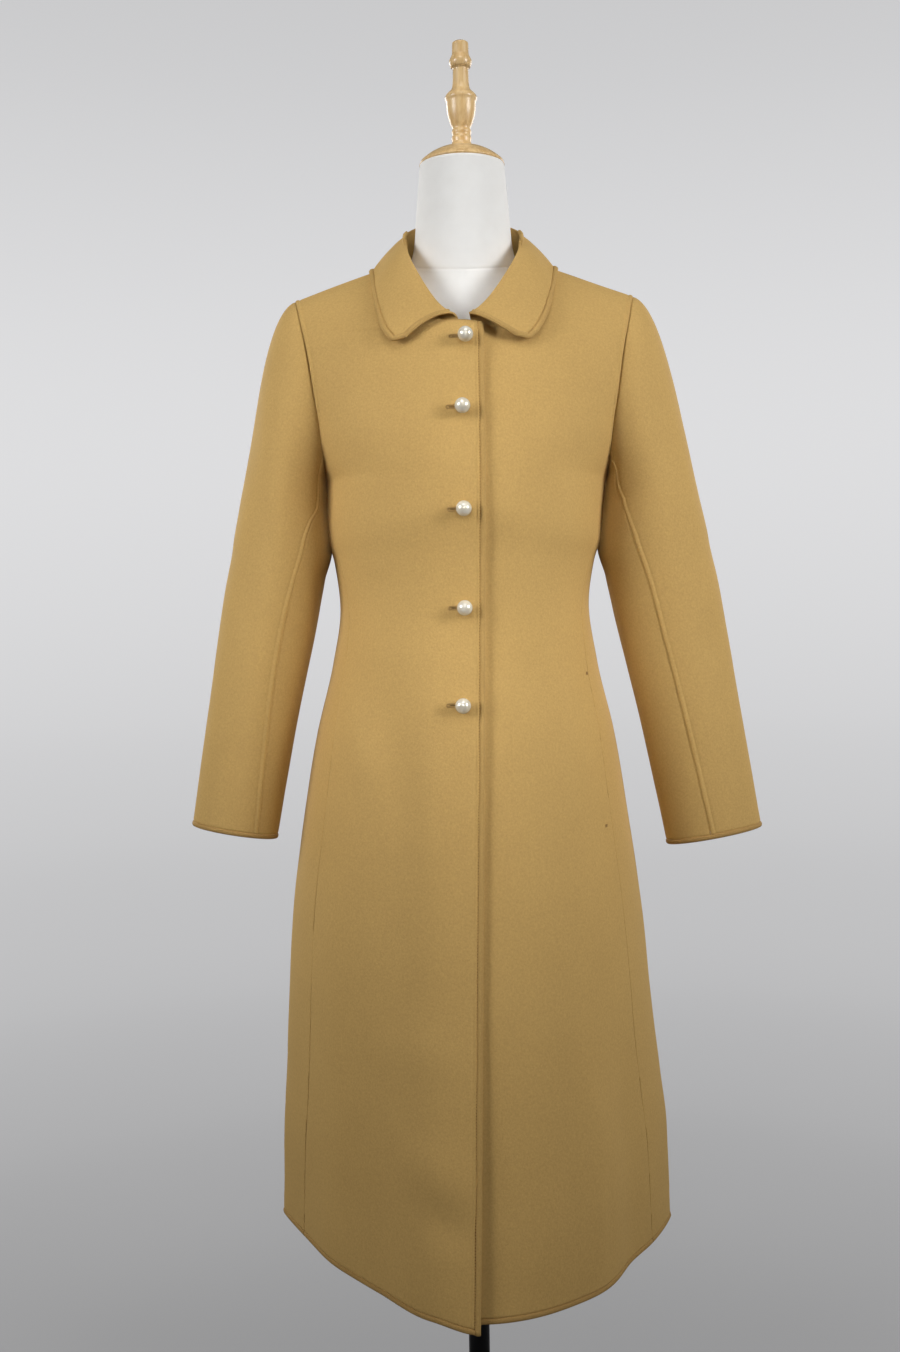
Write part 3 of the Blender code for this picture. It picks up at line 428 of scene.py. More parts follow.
# %% Panels of the body
STEP = 0.0042
NECK_STEP = 0.0015
NECK_ROWS_TOP = 1.340
YOKE_STEP = 0.0028
YOKE_LOW = 1.342
YOKE_TOP = 1.412
SHOULDER_STEPS = 0.7
NECK_SPACE = 0.003
EDGE_STEPS = np.array([0.0, 0.5, 1.1, 1.8, 2.7, 3.7, 4.7, 5.6, 6.3, 7.2, 9.0]) / 1000
FRONT_INNER = 56
BACK_INNER = 72


def places_across(length, inner):
    """Distances across a panel: small steps beside both edges and even ones between them."""
    even = np.linspace(EDGE_STEPS[-1], length - EDGE_STEPS[-1], inner)
    return np.concatenate([EDGE_STEPS[:-1], even, length - EDGE_STEPS[-2::-1]])


def body_levels():
    """Levels from the hem to the shoulder, close together at both ends and round the neck."""
    bottom, top = HEM + BINDING_WIDTH - BINDING_TUCK, SHOULDER - SEAM_GAP / 2
    hem = bottom + EDGE_STEPS
    long = np.arange(hem[-1] + STEP, FRONT_NECK - NECK_SPACE, STEP)
    neck = np.arange(FRONT_NECK, NECK_ROWS_TOP, NECK_STEP)
    yoke = np.arange(YOKE_LOW, YOKE_TOP, YOKE_STEP)
    shoulder = top - EDGE_STEPS[::-1] * SHOULDER_STEPS
    return np.concatenate([hem, long, neck, yoke, shoulder])


def facing_out(rows, side):
    """A grid of rows made for the left side, mirrored for the right one, with its face outwards."""
    grid = mirrored(np.array(rows), side)
    return grid[:, ::-1] if side < 0 else grid


def front_panel(side):
    rows = []
    for level in body_levels():
        line = front_row(side, level)
        inset = (BINDING_WIDTH - BINDING_TUCK) * (1 - ramp(FRONT_NECK, NECK_TURN, level))
        places = inset + places_across(lengths(line)[-1] - inset, FRONT_INNER)
        rows.append(at_distances(line, places))
    return facing_out(rows, side)


def back_panel(side):
    rows = []
    for level in body_levels():
        line = back_row(side, level)
        whole = lengths(line)[-1]
        places = np.concatenate([EDGE_STEPS[:-1], np.linspace(EDGE_STEPS[-1], whole, BACK_INNER)])
        rows.append(at_distances(line, places))
    return facing_out(rows, side)


fronts = {side: front_panel(side) for side in NAMES}
backs = {side: back_panel(side) for side in NAMES}
print("front grid:", fronts[-1].shape[:2], " half back grid:", backs[-1].shape[:2])

# %% [markdown]
# ## Sleeves
# Each sleeve has an upper and an under piece, joined by a seam in front and one behind. From the armhole
# the cap curves over to a tube, and the tube leans out and narrows down to the cuff. A bent cylinder would
# not meet the armhole, so every row is reckoned from it: a curve leaves the armhole in one direction and
# arrives at the tube in another.

# %% Sections of the sleeves
SLEEVE = table(
    "z x y wide deep",
    (1.128, 0.2073, 0.000, 0.0498, 0.0600),
    (1.075, 0.2112, 0.000, 0.0568, 0.0580),
    (1.020, 0.2220, -0.001, 0.0575, 0.0550),
    (0.950, 0.2360, -0.003, 0.0555, 0.0510),
    (0.875, 0.2505, -0.006, 0.0530, 0.0470),
    (0.815, 0.2615, -0.009, 0.0520, 0.0430),
    (0.757, 0.2720, -0.012, 0.0510, 0.0395),
)
# The cap is drawn in towards the shoulder, so that its outside runs straight into the tube
CAP_LEAN = 0.0130
SLEEVE_HANG = {
    -1: {"flat": -0.06, "drop": 0.003, "swing": -0.004},
    1: {"flat": 0.06, "drop": -0.009, "swing": 0.0},
}
# How far the sleeve's inside is pressed against the coat's side under the arm
SLEEVE_TOUCH = table(
    "z press",
    (1.045, 0.0000),
    (1.075, 0.0045),
    (1.100, 0.0045),
    (1.130, 0.0050),
    (1.146, 0.0020),
    (1.155, 0.0000),
)
# Angles of the seams from the sleeve's inside to its front. Share 0 is the armhole, 1 the top of the tube
# and 2 the cuff.
SLEEVE_SEAMS = table(
    "share front_right front_left back_right back_left",
    (0.00, 34.0, 34.0, -38.0, -38.0),
    (1.00, 30.0, 46.0, -57.0, -45.0),
    (1.06, 45.0, 54.0, -59.0, -45.5),
    (1.12, 54.5, 62.0, -60.5, -46.0),
    (1.21, 59.5, 67.5, -62.0, -46.5),
    (1.40, 64.0, 71.0, -65.0, -47.6),
    (2.00, 51.0, 80.0, -66.0, -48.0),
)
print("sleeve rings:", len(SLEEVE["z"]))


# %% Sleeve rings
# How the cap leaves the armhole and meets the tube, at the armpit and at the top of the shoulder
CAP_OUT = (0.25, 0.94)
CAP_DOWN = (-0.97, -0.37)
CAP_AHEAD = -0.45
CAP_START = (0.004, 0.037)
CAP_END = (0.006, 0.082)
# The sleeve's direction is measured between two heights this far above and below
AXIS_STEP = 0.01


def armhole_points(angles):
    """Armhole points of the left side, at angles from the armpit (0) over the front to the top (180)."""
    levels = np.linspace(ARMPIT, SHOULDER, DENSE)
    angles = np.asarray(angles) % 360
    found = np.zeros((len(angles), 3))
    for rows, mine, share in (
        (FRONT_ARMHOLE, angles <= 180, angles / 180),
        (BACK_ARMHOLE, angles > 180, 2 - angles / 180),
    ):
        line = np.stack([column(rows, axis, levels) for axis in "xyz"], axis=1)
        found[mine] = at_distances(line, share[mine] * lengths(line)[-1])
    return found


def sleeve_ring(z, angles, hang):
    """Sleeve points round its axis at one height, and the sleeve's direction there."""
    high = SLEEVE["z"][::-1]
    at = {name: smooth(high, SLEEVE[name][::-1], z) for name in ("x", "y", "wide", "deep")}
    near = [smooth(high, SLEEVE[name][::-1], [z + AXIS_STEP, z - AXIS_STEP]) for name in ("x", "y")]
    axis = unit(np.array([near[0][1] - near[0][0], near[1][1] - near[1][0], -2 * AXIS_STEP]))
    inside = unit(np.array([-1.0, 0.0, 0.0]) + axis[0] * axis)
    ahead = np.cross(inside, axis)
    ahead = ahead if ahead[1] < 0 else -ahead
    turn = np.radians(angles)
    down = (SLEEVE["z"][0] - z) / (SLEEVE["z"][0] - SLEEVE["z"][-1])
    centre = np.array([at["x"] + hang["swing"] * down, at["y"], z])
    wide, deep = at["wide"] * (1 + hang["flat"]), at["deep"] * (1 - hang["flat"])
    ring = centre + np.outer(wide * np.cos(turn), inside) + np.outer(deep * np.sin(turn), ahead)
    return ring, axis


def blend(ends, share):
    return ends[0] + (ends[1] - ends[0]) * share


def sleeve_row(share, angles, hang):
    """A row of the sleeve: shares 0 to 1 run over its cap, and 1 to 2 down its tube."""
    top, cuff = SLEEVE["z"][0], SLEEVE["z"][-1] + hang["drop"]
    if share >= 1:
        return sleeve_ring(top + (cuff - top) * (share - 1), angles, hang)[0]
    ring, axis = sleeve_ring(top, angles, hang)
    turn = np.radians(angles)
    over = (1 - np.cos(turn)) / 2
    leave = [blend(CAP_OUT, over), CAP_AHEAD * np.sin(turn), blend(CAP_DOWN, over)]
    leave = unit(np.stack(leave, axis=1))
    hole = armhole_points(angles) + leave * SEAM_GAP
    first = hole + leave * blend(CAP_START, over)[:, None]
    second = ring - np.outer(blend(CAP_END, over), axis)
    second[:, 0] -= CAP_LEAN * over**2
    t = share
    return (1 - t) ** 3 * hole + 3 * t * (1 - t) ** 2 * first + 3 * t**2 * (1 - t) * second + t**3 * ring


cuff_line = sleeve_row(2.0, np.linspace(0, 360, DENSE), SLEEVE_HANG[1])
print("round the left cuff:", round(lengths(cuff_line)[-1], 4))

# %% Panels of the sleeves
CAP_EDGE = 0.10
CAP_EDGE_ROWS = 12
CAP_ROWS = 36
TUBE_ROWS = 96
UPPER_INNER = 58
UNDER_INNER = 26


def stretches(*parts):
    """Places in several stretches, each with its first place, its last place and its count."""
    return np.concatenate([np.linspace(*part) for part in parts])


def sleeve_length(hang):
    return SLEEVE["z"][0] - SLEEVE["z"][-1] - hang["drop"]


def sleeve_shares(hang):
    """Shares of the sleeve's rows, close together beside the armhole and at the cuff."""
    stop = 2 - (BINDING_WIDTH - BINDING_TUCK) / sleeve_length(hang)
    cap = stretches((0, CAP_EDGE, CAP_EDGE_ROWS), (CAP_EDGE, 1, CAP_ROWS))
    cap = np.delete(cap, [CAP_EDGE_ROWS, -1])
    cuff = stop - EDGE_STEPS[::-1] / sleeve_length(hang)
    return np.concatenate([cap, np.linspace(1, cuff[0], TUBE_ROWS)[:-1], cuff])


def sleeve_seams(share, side):
    """Angles of the sleeve's front and back seams on a row."""
    return [column(SLEEVE_SEAMS, f"{seam}_{NAMES[side]}", share, "share") for seam in ("front", "back")]


def pressed(line, angles):
    """The line with the sleeve's inside pressed against the coat's side."""
    inside = np.clip(np.cos(np.radians(angles)), 0, 1) ** 2
    touching = np.clip(line[:, 2], SLEEVE_TOUCH["z"][0], SLEEVE_TOUCH["z"][-1])
    line[:, 0] -= column(SLEEVE_TOUCH, "press", touching, "z") * inside
    return line


def sleeve_panel(side, under):
    hang = SLEEVE_HANG[side]
    gap = math.degrees(SEAM_GAP / SLEEVE["deep"][-1])
    rows = []
    for share in sleeve_shares(hang):
        front, back = sleeve_seams(share, side)
        if under:
            angles, inner = np.linspace(back + gap, front - gap, DENSE), UNDER_INNER
        else:
            angles, inner = np.linspace(front + gap, back + 360 - gap, DENSE), UPPER_INNER
        line = pressed(sleeve_row(share, angles, hang), angles)
        rows.append(at_distances(line, places_across(lengths(line)[-1], inner)))
    return facing_out(rows, side)[::-1]


sleeves = {(side, under): sleeve_panel(side, under) for side in NAMES for under in (False, True)}
print("upper sleeve grid:", sleeves[-1, False].shape[:2], " under sleeve:", sleeves[-1, True].shape[:2])

# %% [markdown]
# ## Collar
# The collar is one piece. It stands up from the neck seam inside the coat, rolls over a soft fold and falls
# to its outer edge. A cloth simulation could drape it, but it would not stop at the outline that is wanted.
# So a table gives the fold and the edge, and the fall between them is lifted off the shoulders.

# %% Sections of the collar
COLLAR_WALL = 0.0022
COLLAR = table(
    "along fold_x fold_y fold_z edge_x edge_y edge_z crown end_lift",
    (0.00, 0.0000, 0.0650, 1.4515, 0.0000, 0.0900, 1.3840, 0.006, 0.000),
    (0.17, 0.0390, 0.0560, 1.4495, 0.0540, 0.0840, 1.3810, 0.006, 0.000),
    (0.34, 0.0590, 0.0310, 1.4370, 0.0890, 0.0510, 1.3870, 0.004, 0.000),
    (0.50, 0.0655, -0.0020, 1.4205, 0.1035, 0.0050, 1.3845, 0.002, 0.000),
    (0.64, 0.0610, -0.0420, 1.398, 0.1000, -0.0490, 1.3540, 0.002, 0.000),
    (0.78, 0.0405, -0.0780, 1.357, 0.0930, -0.0805, 1.3190, 0.002, 0.000),
    (0.89, 0.0225, -0.0905, 1.331, 0.0830, -0.0965, 1.2975, 0.001, 0.000),
    (0.95, 0.0140, -0.0940, 1.3230, 0.0745, -0.1010, 1.2905, 0.000, 0.001),
    (1.00, 0.0085, -0.0955, 1.3195, 0.0610, -0.1030, 1.2930, 0.000, 0.001),
)
# The collar's front ends lie a little to the wearer's right, and the left one more than the right one
COLLAR_SWING = table(
    "place right left",
    (0.0, 0.0000, 0.0000),
    (1.0, -0.0050, -0.0050),
    (2.0, -0.0020, -0.0085),
)
# The right end arches up, and the left end stands off the coat, because it rests on the lap
COLLAR_ARCH = 0.0045
COLLAR_OFF = 0.0030
COLLAR_END = 0.0065
NECK_MIDDLE = (0.0, -0.012, 0.0)
STAND_INSET = 0.0056
STAND_DROP = 0.0025
STAND_ROUND = 0.0012
FOLD_RADIUS = 0.0060
COLLAR_REST = 0.0012
print("collar sections:", len(COLLAR["along"]))


# %% Collar lines
# Places across the collar: 0 is the neck seam, 1 the fold and 2 the outer edge
STAND_PLACES = stretches((0, 0.76, 9), (0.80, 1, 8))
FALL_PLACES = stretches((1.012, 1.10, 8), (1.13, 1.82, 18), (1.83, 2, 15))
COLLAR_PLACES = np.concatenate([STAND_PLACES, FALL_PLACES])
# Places along one half: 0 is the centre back and 1 the front end
COLLAR_ALONG = stretches((0, 0.95, 84), (0.953, 1, 16))
FOLD_REACH = 0.10
FOLD_PASSES = 14
ROLL_SHARE = 0.3
SWING_START = 0.5
END_START = 0.82


def neckline(side):
    """The coat's neck edge on one side, from the centre back to the collar's front end."""
    back = [back_line(side, level)[-1] for level in np.linspace(BACK_NECK, SHOULDER, DENSE)]
    front = [front_line(side, level)[0][0] for level in np.linspace(SHOULDER, FRONT_NECK, DENSE)]
    line = np.array(back + front[1:])
    return line[line[:, 0] > COLLAR_END * (np.arange(len(line)) > DENSE)]


def collar_profile(along, neck):
    """The collar's line across, from the neck seam over the fold to the outer edge."""
    fold, edge = [
        np.array([column(COLLAR, f"{part}_{axis}", along, "along") for axis in "xyz"])
        for part in ("fold", "edge")
    ]
    level = np.array([1.0, 1.0, 0.0])
    away = unit((neck - np.array(NECK_MIDDLE)) * level)
    seam = neck - away * STAND_INSET - np.array([0.0, 0.0, STAND_DROP])
    above = np.array([seam[0], seam[1], fold[2] + STAND_ROUND])
    t = STAND_PLACES[:, None]
    stand = (1 - t) ** 2 * seam + 2 * t * (1 - t) * above + t**2 * fold
    out = unit((edge - seam) * level)
    crown, end_lift = [column(COLLAR, name, along, "along") for name in ("crown", "end_lift")]
    t = (FALL_PLACES - 1)[:, None]
    roll = FOLD_RADIUS * (1 - t) * (1 - (1 - np.minimum(t / ROLL_SHARE, 1)) ** 2)
    swell = np.sin(math.pi * t)
    rise = np.array([0.0, 0.0, crown + end_lift]) * swell
    fall = fold + (edge - fold) * t + out * (roll + crown * swell) + rise
    near_fold = np.exp(-(((COLLAR_PLACES[1:-1] - 1) / FOLD_REACH) ** 2))
    return softened(np.concatenate([stand, fall]), near_fold, FOLD_PASSES)


def softened(line, weights, passes):
    """The line with its inner points drawn towards the middle of their neighbours, as thick cloth rolls."""
    for _ in range(passes):
        middle = (line[:-2] + line[2:]) / 2
        line[1:-1] += (middle - line[1:-1]) * weights[:, None] * 0.5
    return line


def collar_half(side):
    line = neckline(side)
    seam = at_distances(line, COLLAR_ALONG * lengths(line)[-1])
    half = np.array([collar_profile(place, neck) for place, neck in zip(COLLAR_ALONG, seam)])
    half = mirrored(half, side)
    sideways = np.interp(COLLAR_PLACES, COLLAR_SWING["place"], COLLAR_SWING[NAMES[side]])
    half[..., 0] += ramp(SWING_START, 1.0, COLLAR_ALONG)[:, None] * sideways
    swell = np.sin(math.pi * np.clip(COLLAR_PLACES - 1, 0, 1))
    end = ramp(END_START, 1.0, COLLAR_ALONG)[:, None] * swell
    if side < 0:
        half[..., 2] += COLLAR_ARCH * end
    else:
        half[..., 1] -= COLLAR_OFF * end
    return half


collar_points = np.concatenate([collar_half(1)[:0:-1], collar_half(-1)])
print("collar grid:", collar_points.shape[:2])

# %% Laying the collar on the coat
FALL_START = 1.15
FALL_FADE = 0.25
FALL_PASSES = 60


def surface_tree(grids):
    """A search tree over the outer faces of several grids."""
    points, faces = [], []
    for grid in grids:
        points_before = len(points)
        points += [Vector(point) for point in grid.reshape(-1, 3)]
        faces += [[points_before + corner for corner in face] for face in grid_faces(*grid.shape[:2])]
    return BVHTree.FromPolygons(points, faces)


def grid_faces(rows, columns):
    corner = (np.arange(rows - 1)[:, None] * columns + np.arange(columns - 1)).reshape(-1)
    return np.stack([corner, corner + 1, corner + columns + 1, corner + columns], axis=1).tolist()


def lifted(point, coat, least):
    """The point, moved out where it is nearer to the coat than this."""
    spot, normal, _, _ = coat.find_nearest(Vector(point))
    height = (Vector(point) - spot).dot(normal)
    return point + np.array(normal) * max(0.0, least - height)


def lay_fall(line):
    """Lift the points of a collar line's fall that are too near to the coat."""
    for place in range(len(STAND_PLACES), len(COLLAR_PLACES)):
        line[place] = lifted(line[place], body_tree, COLLAR_WALL + COLLAR_REST)


body_tree = surface_tree([*fronts.values(), *backs.values()])
below_fold = np.clip((COLLAR_PLACES[1:-1] - FALL_START) / FALL_FADE, 0, 1)
for row in collar_points:
    lay_fall(row)
    softened(row, below_fold, FALL_PASSES)
    lay_fall(row)
print("collar's highest point:", round(float(collar_points[..., 2].max()), 4))

# %% [markdown]
# ## Seams
# Double-faced wool is sewn by splitting its two layers, turning the edges in and closing them by hand. That
# leaves a soft ridge about 5 mm wide beside a seam, a ditch at the stitches and a faint line on the far
# side. The side seams are pressed flat. A bump in the finish could fake all this, but real relief also
# shows in the outline and in raking light.

# %% Seam relief
SEAMS = table(
    "kind ridge width ditch line",
    ("plain", 0.0, 0.0050, 0.0005, 0.0),
    ("pressed", 0.0, 0.0050, 0.0002, 0.0),
    ("ridge", 0.0009, 0.0056, 0.0004, 0.0004),
    ("bound", 0.0004, 0.0042, 0.0010, 0.0004),
)
RIDGE_ROUND = 0.8
DITCH_WIDTH = 0.0010
ARMPIT_FADE = 0.015


def seam_relief(distance, kind):
    """Height of the cloth at these distances from a seam."""
    row = list(SEAMS["kind"]).index(kind)
    width = SEAMS["width"][row]
    ridge = SEAMS["ridge"][row] * np.sin(math.pi * np.clip(distance / width, 0, 1)) ** RIDGE_ROUND
    ditch = SEAMS["ditch"][row] * np.exp(-((distance / DITCH_WIDTH) ** 2))
    line = SEAMS["line"][row] * np.exp(-(((distance - width) / DITCH_WIDTH) ** 2))
    return ridge - ditch - line


def edge_distances(grid):
    """Distances of every point from the first and last row and from the first and last column."""
    found = {}
    for axis, first, last in ((0, "first_row", "last_row"), (1, "first_column", "last_column")):
        steps = np.linalg.norm(np.diff(grid, axis=axis), axis=2)
        reach = np.cumsum(np.concatenate([np.zeros_like(steps.take([0], axis)), steps], axis), axis)
        found[first] = reach
        found[last] = reach.take([-1], axis) - reach
    return found


def sewn(grid, **edges):
    """Relief of the seams along the named edges of a grid."""
    distances = edge_distances(grid)
    return sum(seam_relief(distances[edge], kind) for edge, kind in edges.items())


def side_and_armhole(grid, edge):
    """Relief along a body panel's side: a pressed seam up to the armpit and a ridge round the armhole."""
    armhole = ramp(ARMPIT - ARMPIT_FADE, ARMPIT + ARMPIT_FADE, body_levels())[:, None]
    return sewn(grid, **{edge: "ridge"}) * armhole + sewn(grid, **{edge: "pressed"}) * (1 - armhole)


print("kinds of seam:", ", ".join(SEAMS["kind"]))

# %% [markdown]
# ## Creases
# The cloth is thick and hangs almost smooth. A simulation would give it creases of its own, so its few are
# listed instead. Each is a short line seen from the front (-1) or the back (1), with its own width and
# depth. A ridge has a positive depth and a trough a negative one.

# %% Creases
CREASES = table(
    "piece face x_top z_top x_end z_end width depth",
    ("front_right", -1, -0.139, 0.940, -0.112, 0.815, 0.017, 0.0026),
    ("front_right", -1, -0.097, 0.925, -0.076, 0.795, 0.019, -0.0028),
    ("front_right", -1, -0.108, 0.556, -0.004, 0.548, 0.030, 0.0022),
    ("front_right", -1, -0.085, 0.452, -0.002, 0.420, 0.026, 0.0032),
    ("front_right", -1, -0.060, 0.395, -0.006, 0.372, 0.020, -0.0028),
    ("front_right", -1, -0.150, 0.600, -0.165, 0.360, 0.020, -0.0020),
    ("front_right", -1, -0.128, 1.180, -0.098, 1.150, 0.016, -0.0016),
    ("front_right", -1, -0.120, 1.030, -0.070, 1.040, 0.013, -0.0012),
    ("front_left", -1, 0.108, 0.560, 0.127, 0.430, 0.012, 0.0024),
    ("front_left", -1, 0.127, 0.430, 0.126, 0.300, 0.008, 0.0018),
    ("front_left", -1, 0.088, 0.520, 0.098, 0.350, 0.017, -0.0018),
    ("front_left", -1, 0.128, 1.185, 0.092, 1.145, 0.017, -0.0018),
    ("front_left", -1, 0.118, 1.050, 0.072, 1.030, 0.014, -0.0013),
    ("front_left", -1, 0.122, 0.905, 0.121, 0.785, 0.003, -0.0005),
    ("front_left", -1, 0.100, 0.930, 0.108, 0.800, 0.016, 0.0018),
    ("front_left", -1, 0.0235, 1.300, 0.0170, 0.800, 0.0050, -0.0012),
    ("front_left", -1, 0.0205, 1.000, 0.0035, 0.320, 0.0050, -0.0012),
    ("front_left", -1, 0.0215, 1.312, 0.0380, 1.298, 0.0085, -0.0080),
    ("back", 1, -0.110, 1.040, -0.030, 1.022, 0.014, -0.0020),
    ("back", 1, 0.120, 1.030, 0.040, 1.005, 0.015, -0.0022),
    ("back", 1, 0.060, 1.060, -0.010, 1.050, 0.012, -0.0014),
    ("back", 1, -0.130, 1.210, -0.085, 1.120, 0.018, -0.0022),
    ("back", 1, 0.135, 1.200, 0.092, 1.130, 0.016, -0.0019),
    ("back", 1, -0.060, 0.720, -0.085, 0.420, 0.024, 0.0026),
    ("back", 1, 0.030, 0.640, 0.055, 0.340, 0.020, 0.0024),
    ("back", 1, 0.140, 0.700, 0.165, 0.380, 0.022, -0.0026),
    ("sleeve_right", -1, -0.238, 1.250, -0.233, 1.060, 0.014, -0.0028),
    ("sleeve_right", -1, -0.199, 1.225, -0.207, 1.020, 0.015, 0.0018),
    ("sleeve_right", -1, -0.262, 1.060, -0.232, 1.000, 0.013, -0.0016),
    ("sleeve_right", -1, -0.276, 0.930, -0.285, 0.800, 0.014, 0.0016),
    ("sleeve_right", -1, -0.250, 0.905, -0.262, 0.790, 0.012, -0.0015),
    ("sleeve_left", -1, 0.212, 1.235, 0.226, 1.090, 0.016, -0.0022),
    ("sleeve_left", -1, 0.236, 1.190, 0.252, 1.010, 0.014, 0.0016),
    ("sleeve_left", -1, 0.284, 1.000, 0.256, 0.950, 0.013, -0.0014),
    ("sleeve_left", -1, 0.288, 0.900, 0.299, 0.780, 0.013, 0.0016),
    ("sleeve_right", 1, -0.200, 1.020, -0.258, 0.985, 0.011, -0.0030),
    ("sleeve_right", 1, -0.212, 0.975, -0.262, 0.950, 0.010, -0.0024),
    ("sleeve_right", 1, -0.222, 1.200, -0.238, 1.080, 0.016, 0.0020),
    ("sleeve_left", 1, 0.205, 1.010, 0.262, 0.980, 0.011, -0.0028),
    ("sleeve_left", 1, 0.228, 0.960, 0.272, 0.930, 0.011, -0.0022),
    ("sleeve_left", 1, 0.216, 1.210, 0.236, 1.090, 0.017, 0.0021),
)
# A crease is this shallow at its ends, and fades where the cloth turns away from its side
CREASE_ENDS = 0.3
CREASE_TURN = 0.5
HANDLE = 0.0004
HANDLE_SCALE = 16.0


def creased(grid, normals, piece):
    """Height of a piece's creases, and of the slight unevenness of any hung cloth."""
    flat = grid[..., [0, 2]]
    lift = np.zeros(grid.shape[:2])
    for row in np.flatnonzero(CREASES["piece"] == piece):
        start = np.array([CREASES["x_top"][row], CREASES["z_top"][row]])
        along = np.array([CREASES["x_end"][row], CREASES["z_end"][row]]) - start
        t = np.clip((flat - start) @ along / (along @ along), 0, 1)
        away = np.linalg.norm(flat - start - t[..., None] * along, axis=2)
        swell = CREASE_ENDS + (1 - CREASE_ENDS) * np.sin(math.pi * t)
        facing = ramp(0.0, CREASE_TURN, normals[..., 1] * CREASES["face"][row])
        lift += CREASES["depth"][row] * swell * np.exp(-((away / CREASES["width"][row]) ** 2)) * facing
    waves = [noise.noise(Vector(point) * HANDLE_SCALE) for point in grid.reshape(-1, 3)]
    return lift + HANDLE * np.array(waves).reshape(grid.shape[:2])


def relieved(grid, seams, creases, outer_edge=None):
    """The grid with its seams and creases. A body panel also names its edge at the side."""
    normals = grid_normals(grid)
    height = sewn(grid, **seams)
    if outer_edge:
        height = height + side_and_armhole(grid, outer_edge)
    height = height + creased(grid, normals, creases)
    return grid + normals * height[..., None]


print("creases:", len(CREASES["piece"]))

# %% [markdown]
# ## The look of the wool
# The nap is a felt of fine fibres in slightly different shades, brushed downwards. Hair would show each
# fibre, but here the nap is too short to be seen as more than a mottle. So one node group makes it for the
# cloth, its bound edges and its thread, each with its own colours, the bound edges' darker as painted
# shade:
# melange at 2 mm, streaks along the nap, large soft clouds, and a height for the bump. The sheen is the
# same all over, so it is set on the shader.

# %% Node helpers
def add_node(tree, kind, **settings):
    """A new node with these values on its sockets, or on itself where it has no such socket."""
    node = tree.nodes.new(kind)
    for name, value in settings.items():
        if name in node.inputs:
            node.inputs[name].default_value = value
        else:
            setattr(node, name, value)
    return node


def new_group(name, inputs, outputs):
    """A node group with named sockets: colours are 4 numbers and values are one."""
    group = bpy.data.node_groups.new(name, "ShaderNodeTree")
    for way, sockets in (("INPUT", inputs), ("OUTPUT", outputs)):
        for socket, value in sockets.items():
            kind = "NodeSocketColor" if isinstance(value, tuple) else "NodeSocketFloat"
            made = group.interface.new_socket(socket, in_out=way, socket_type=kind)
            made.default_value = value
    return group, group.nodes.new("NodeGroupInput"), group.nodes.new("NodeGroupOutput")


def new_material(name, roughness, metallic=0.0):
    """A material, its nodes and its shader."""
    made = bpy.data.materials.new(name)
    made.use_nodes = True
    shader = made.node_tree.nodes["Principled BSDF"]
    shader.inputs["Roughness"].default_value = roughness
    shader.inputs["Metallic"].default_value = metallic
    return made, made.node_tree, shader


def join(tree, *links):
    """Join nodes: each link is a node, its output, another node and that one's input."""
    for giver, output, taker, socket in links:
        tree.links.new(giver.outputs[output], taker.inputs[socket])


def bumped(tree, shader, giver, output, strength, distance):
    """Let a node's output stand as the height of small relief."""
    bump = add_node(tree, "ShaderNodeBump", Strength=strength, Distance=distance)
    join(tree, (giver, output, bump, "Height"), (bump, "Normal", shader, "Normal"))


def two_tones(tree, low, dark, high, light):
    """A colour ramp of two stops, each with its place and its colour."""
    tones = add_node(tree, "ShaderNodeValToRGB")
    for stop, place, colour in zip(tones.color_ramp.elements, (low, high), (dark, light)):
        stop.position = place
        stop.color = (*colour, 1.0)
    return tones


def carried_to(tree, low, high):
    """A node that carries values from 0 to 1 over to another range."""
    return add_node(tree, "ShaderNodeMapRange", **{"To Min": low, "To Max": high})


def mottled(tree, shader, place, texture, tones, gloss):
    """Let a texture give the shader its colour and roughness. The place is a node and its output."""
    join(
        tree,
        (*place, texture, "Vector"),
        (texture, "Fac", tones, "Fac"),
        (texture, "Fac", gloss, "Value"),
        (tones, "Color", shader, "Base Color"),
        (gloss, "Result", shader, "Roughness"),
    )


print("node helpers are ready")


# %% Nap group
nap, nap_in, nap_out = new_group(
    "wool_nap",
    {"Light": (0.6, 0.4, 0.15, 1.0), "Dark": (0.4, 0.25, 0.08, 1.0), "Melange": 430.0, "Clouds": 0.25},
    {"Color": (0.5, 0.3, 0.1, 1.0), "Roughness": 0.8, "Height": 0.5},
)
place = nap.nodes.new("ShaderNodeTexCoord")
brushed = add_node(nap, "ShaderNodeMapping", Scale=(1.0, 1.0, 0.30))
fibre = add_node(nap, "ShaderNodeTexNoise", Detail=4.0, Roughness=0.65)
streak = add_node(nap, "ShaderNodeTexNoise", Scale=1150.0, Detail=2.0)
cloud = add_node(nap, "ShaderNodeTexNoise", Scale=11.0, Detail=3.0, Roughness=0.55)
both = add_node(nap, "ShaderNodeMath", operation="MULTIPLY_ADD")
both.inputs[1].default_value = 0.45
cloudy = add_node(nap, "ShaderNodeMath", operation="MULTIPLY_ADD")
spread = add_node(nap, "ShaderNodeMapRange", **{"From Min": 0.45, "From Max": 1.15})
shade = add_node(nap, "ShaderNodeMix", data_type="RGBA")
rough = carried_to(nap, 0.74, 0.92)
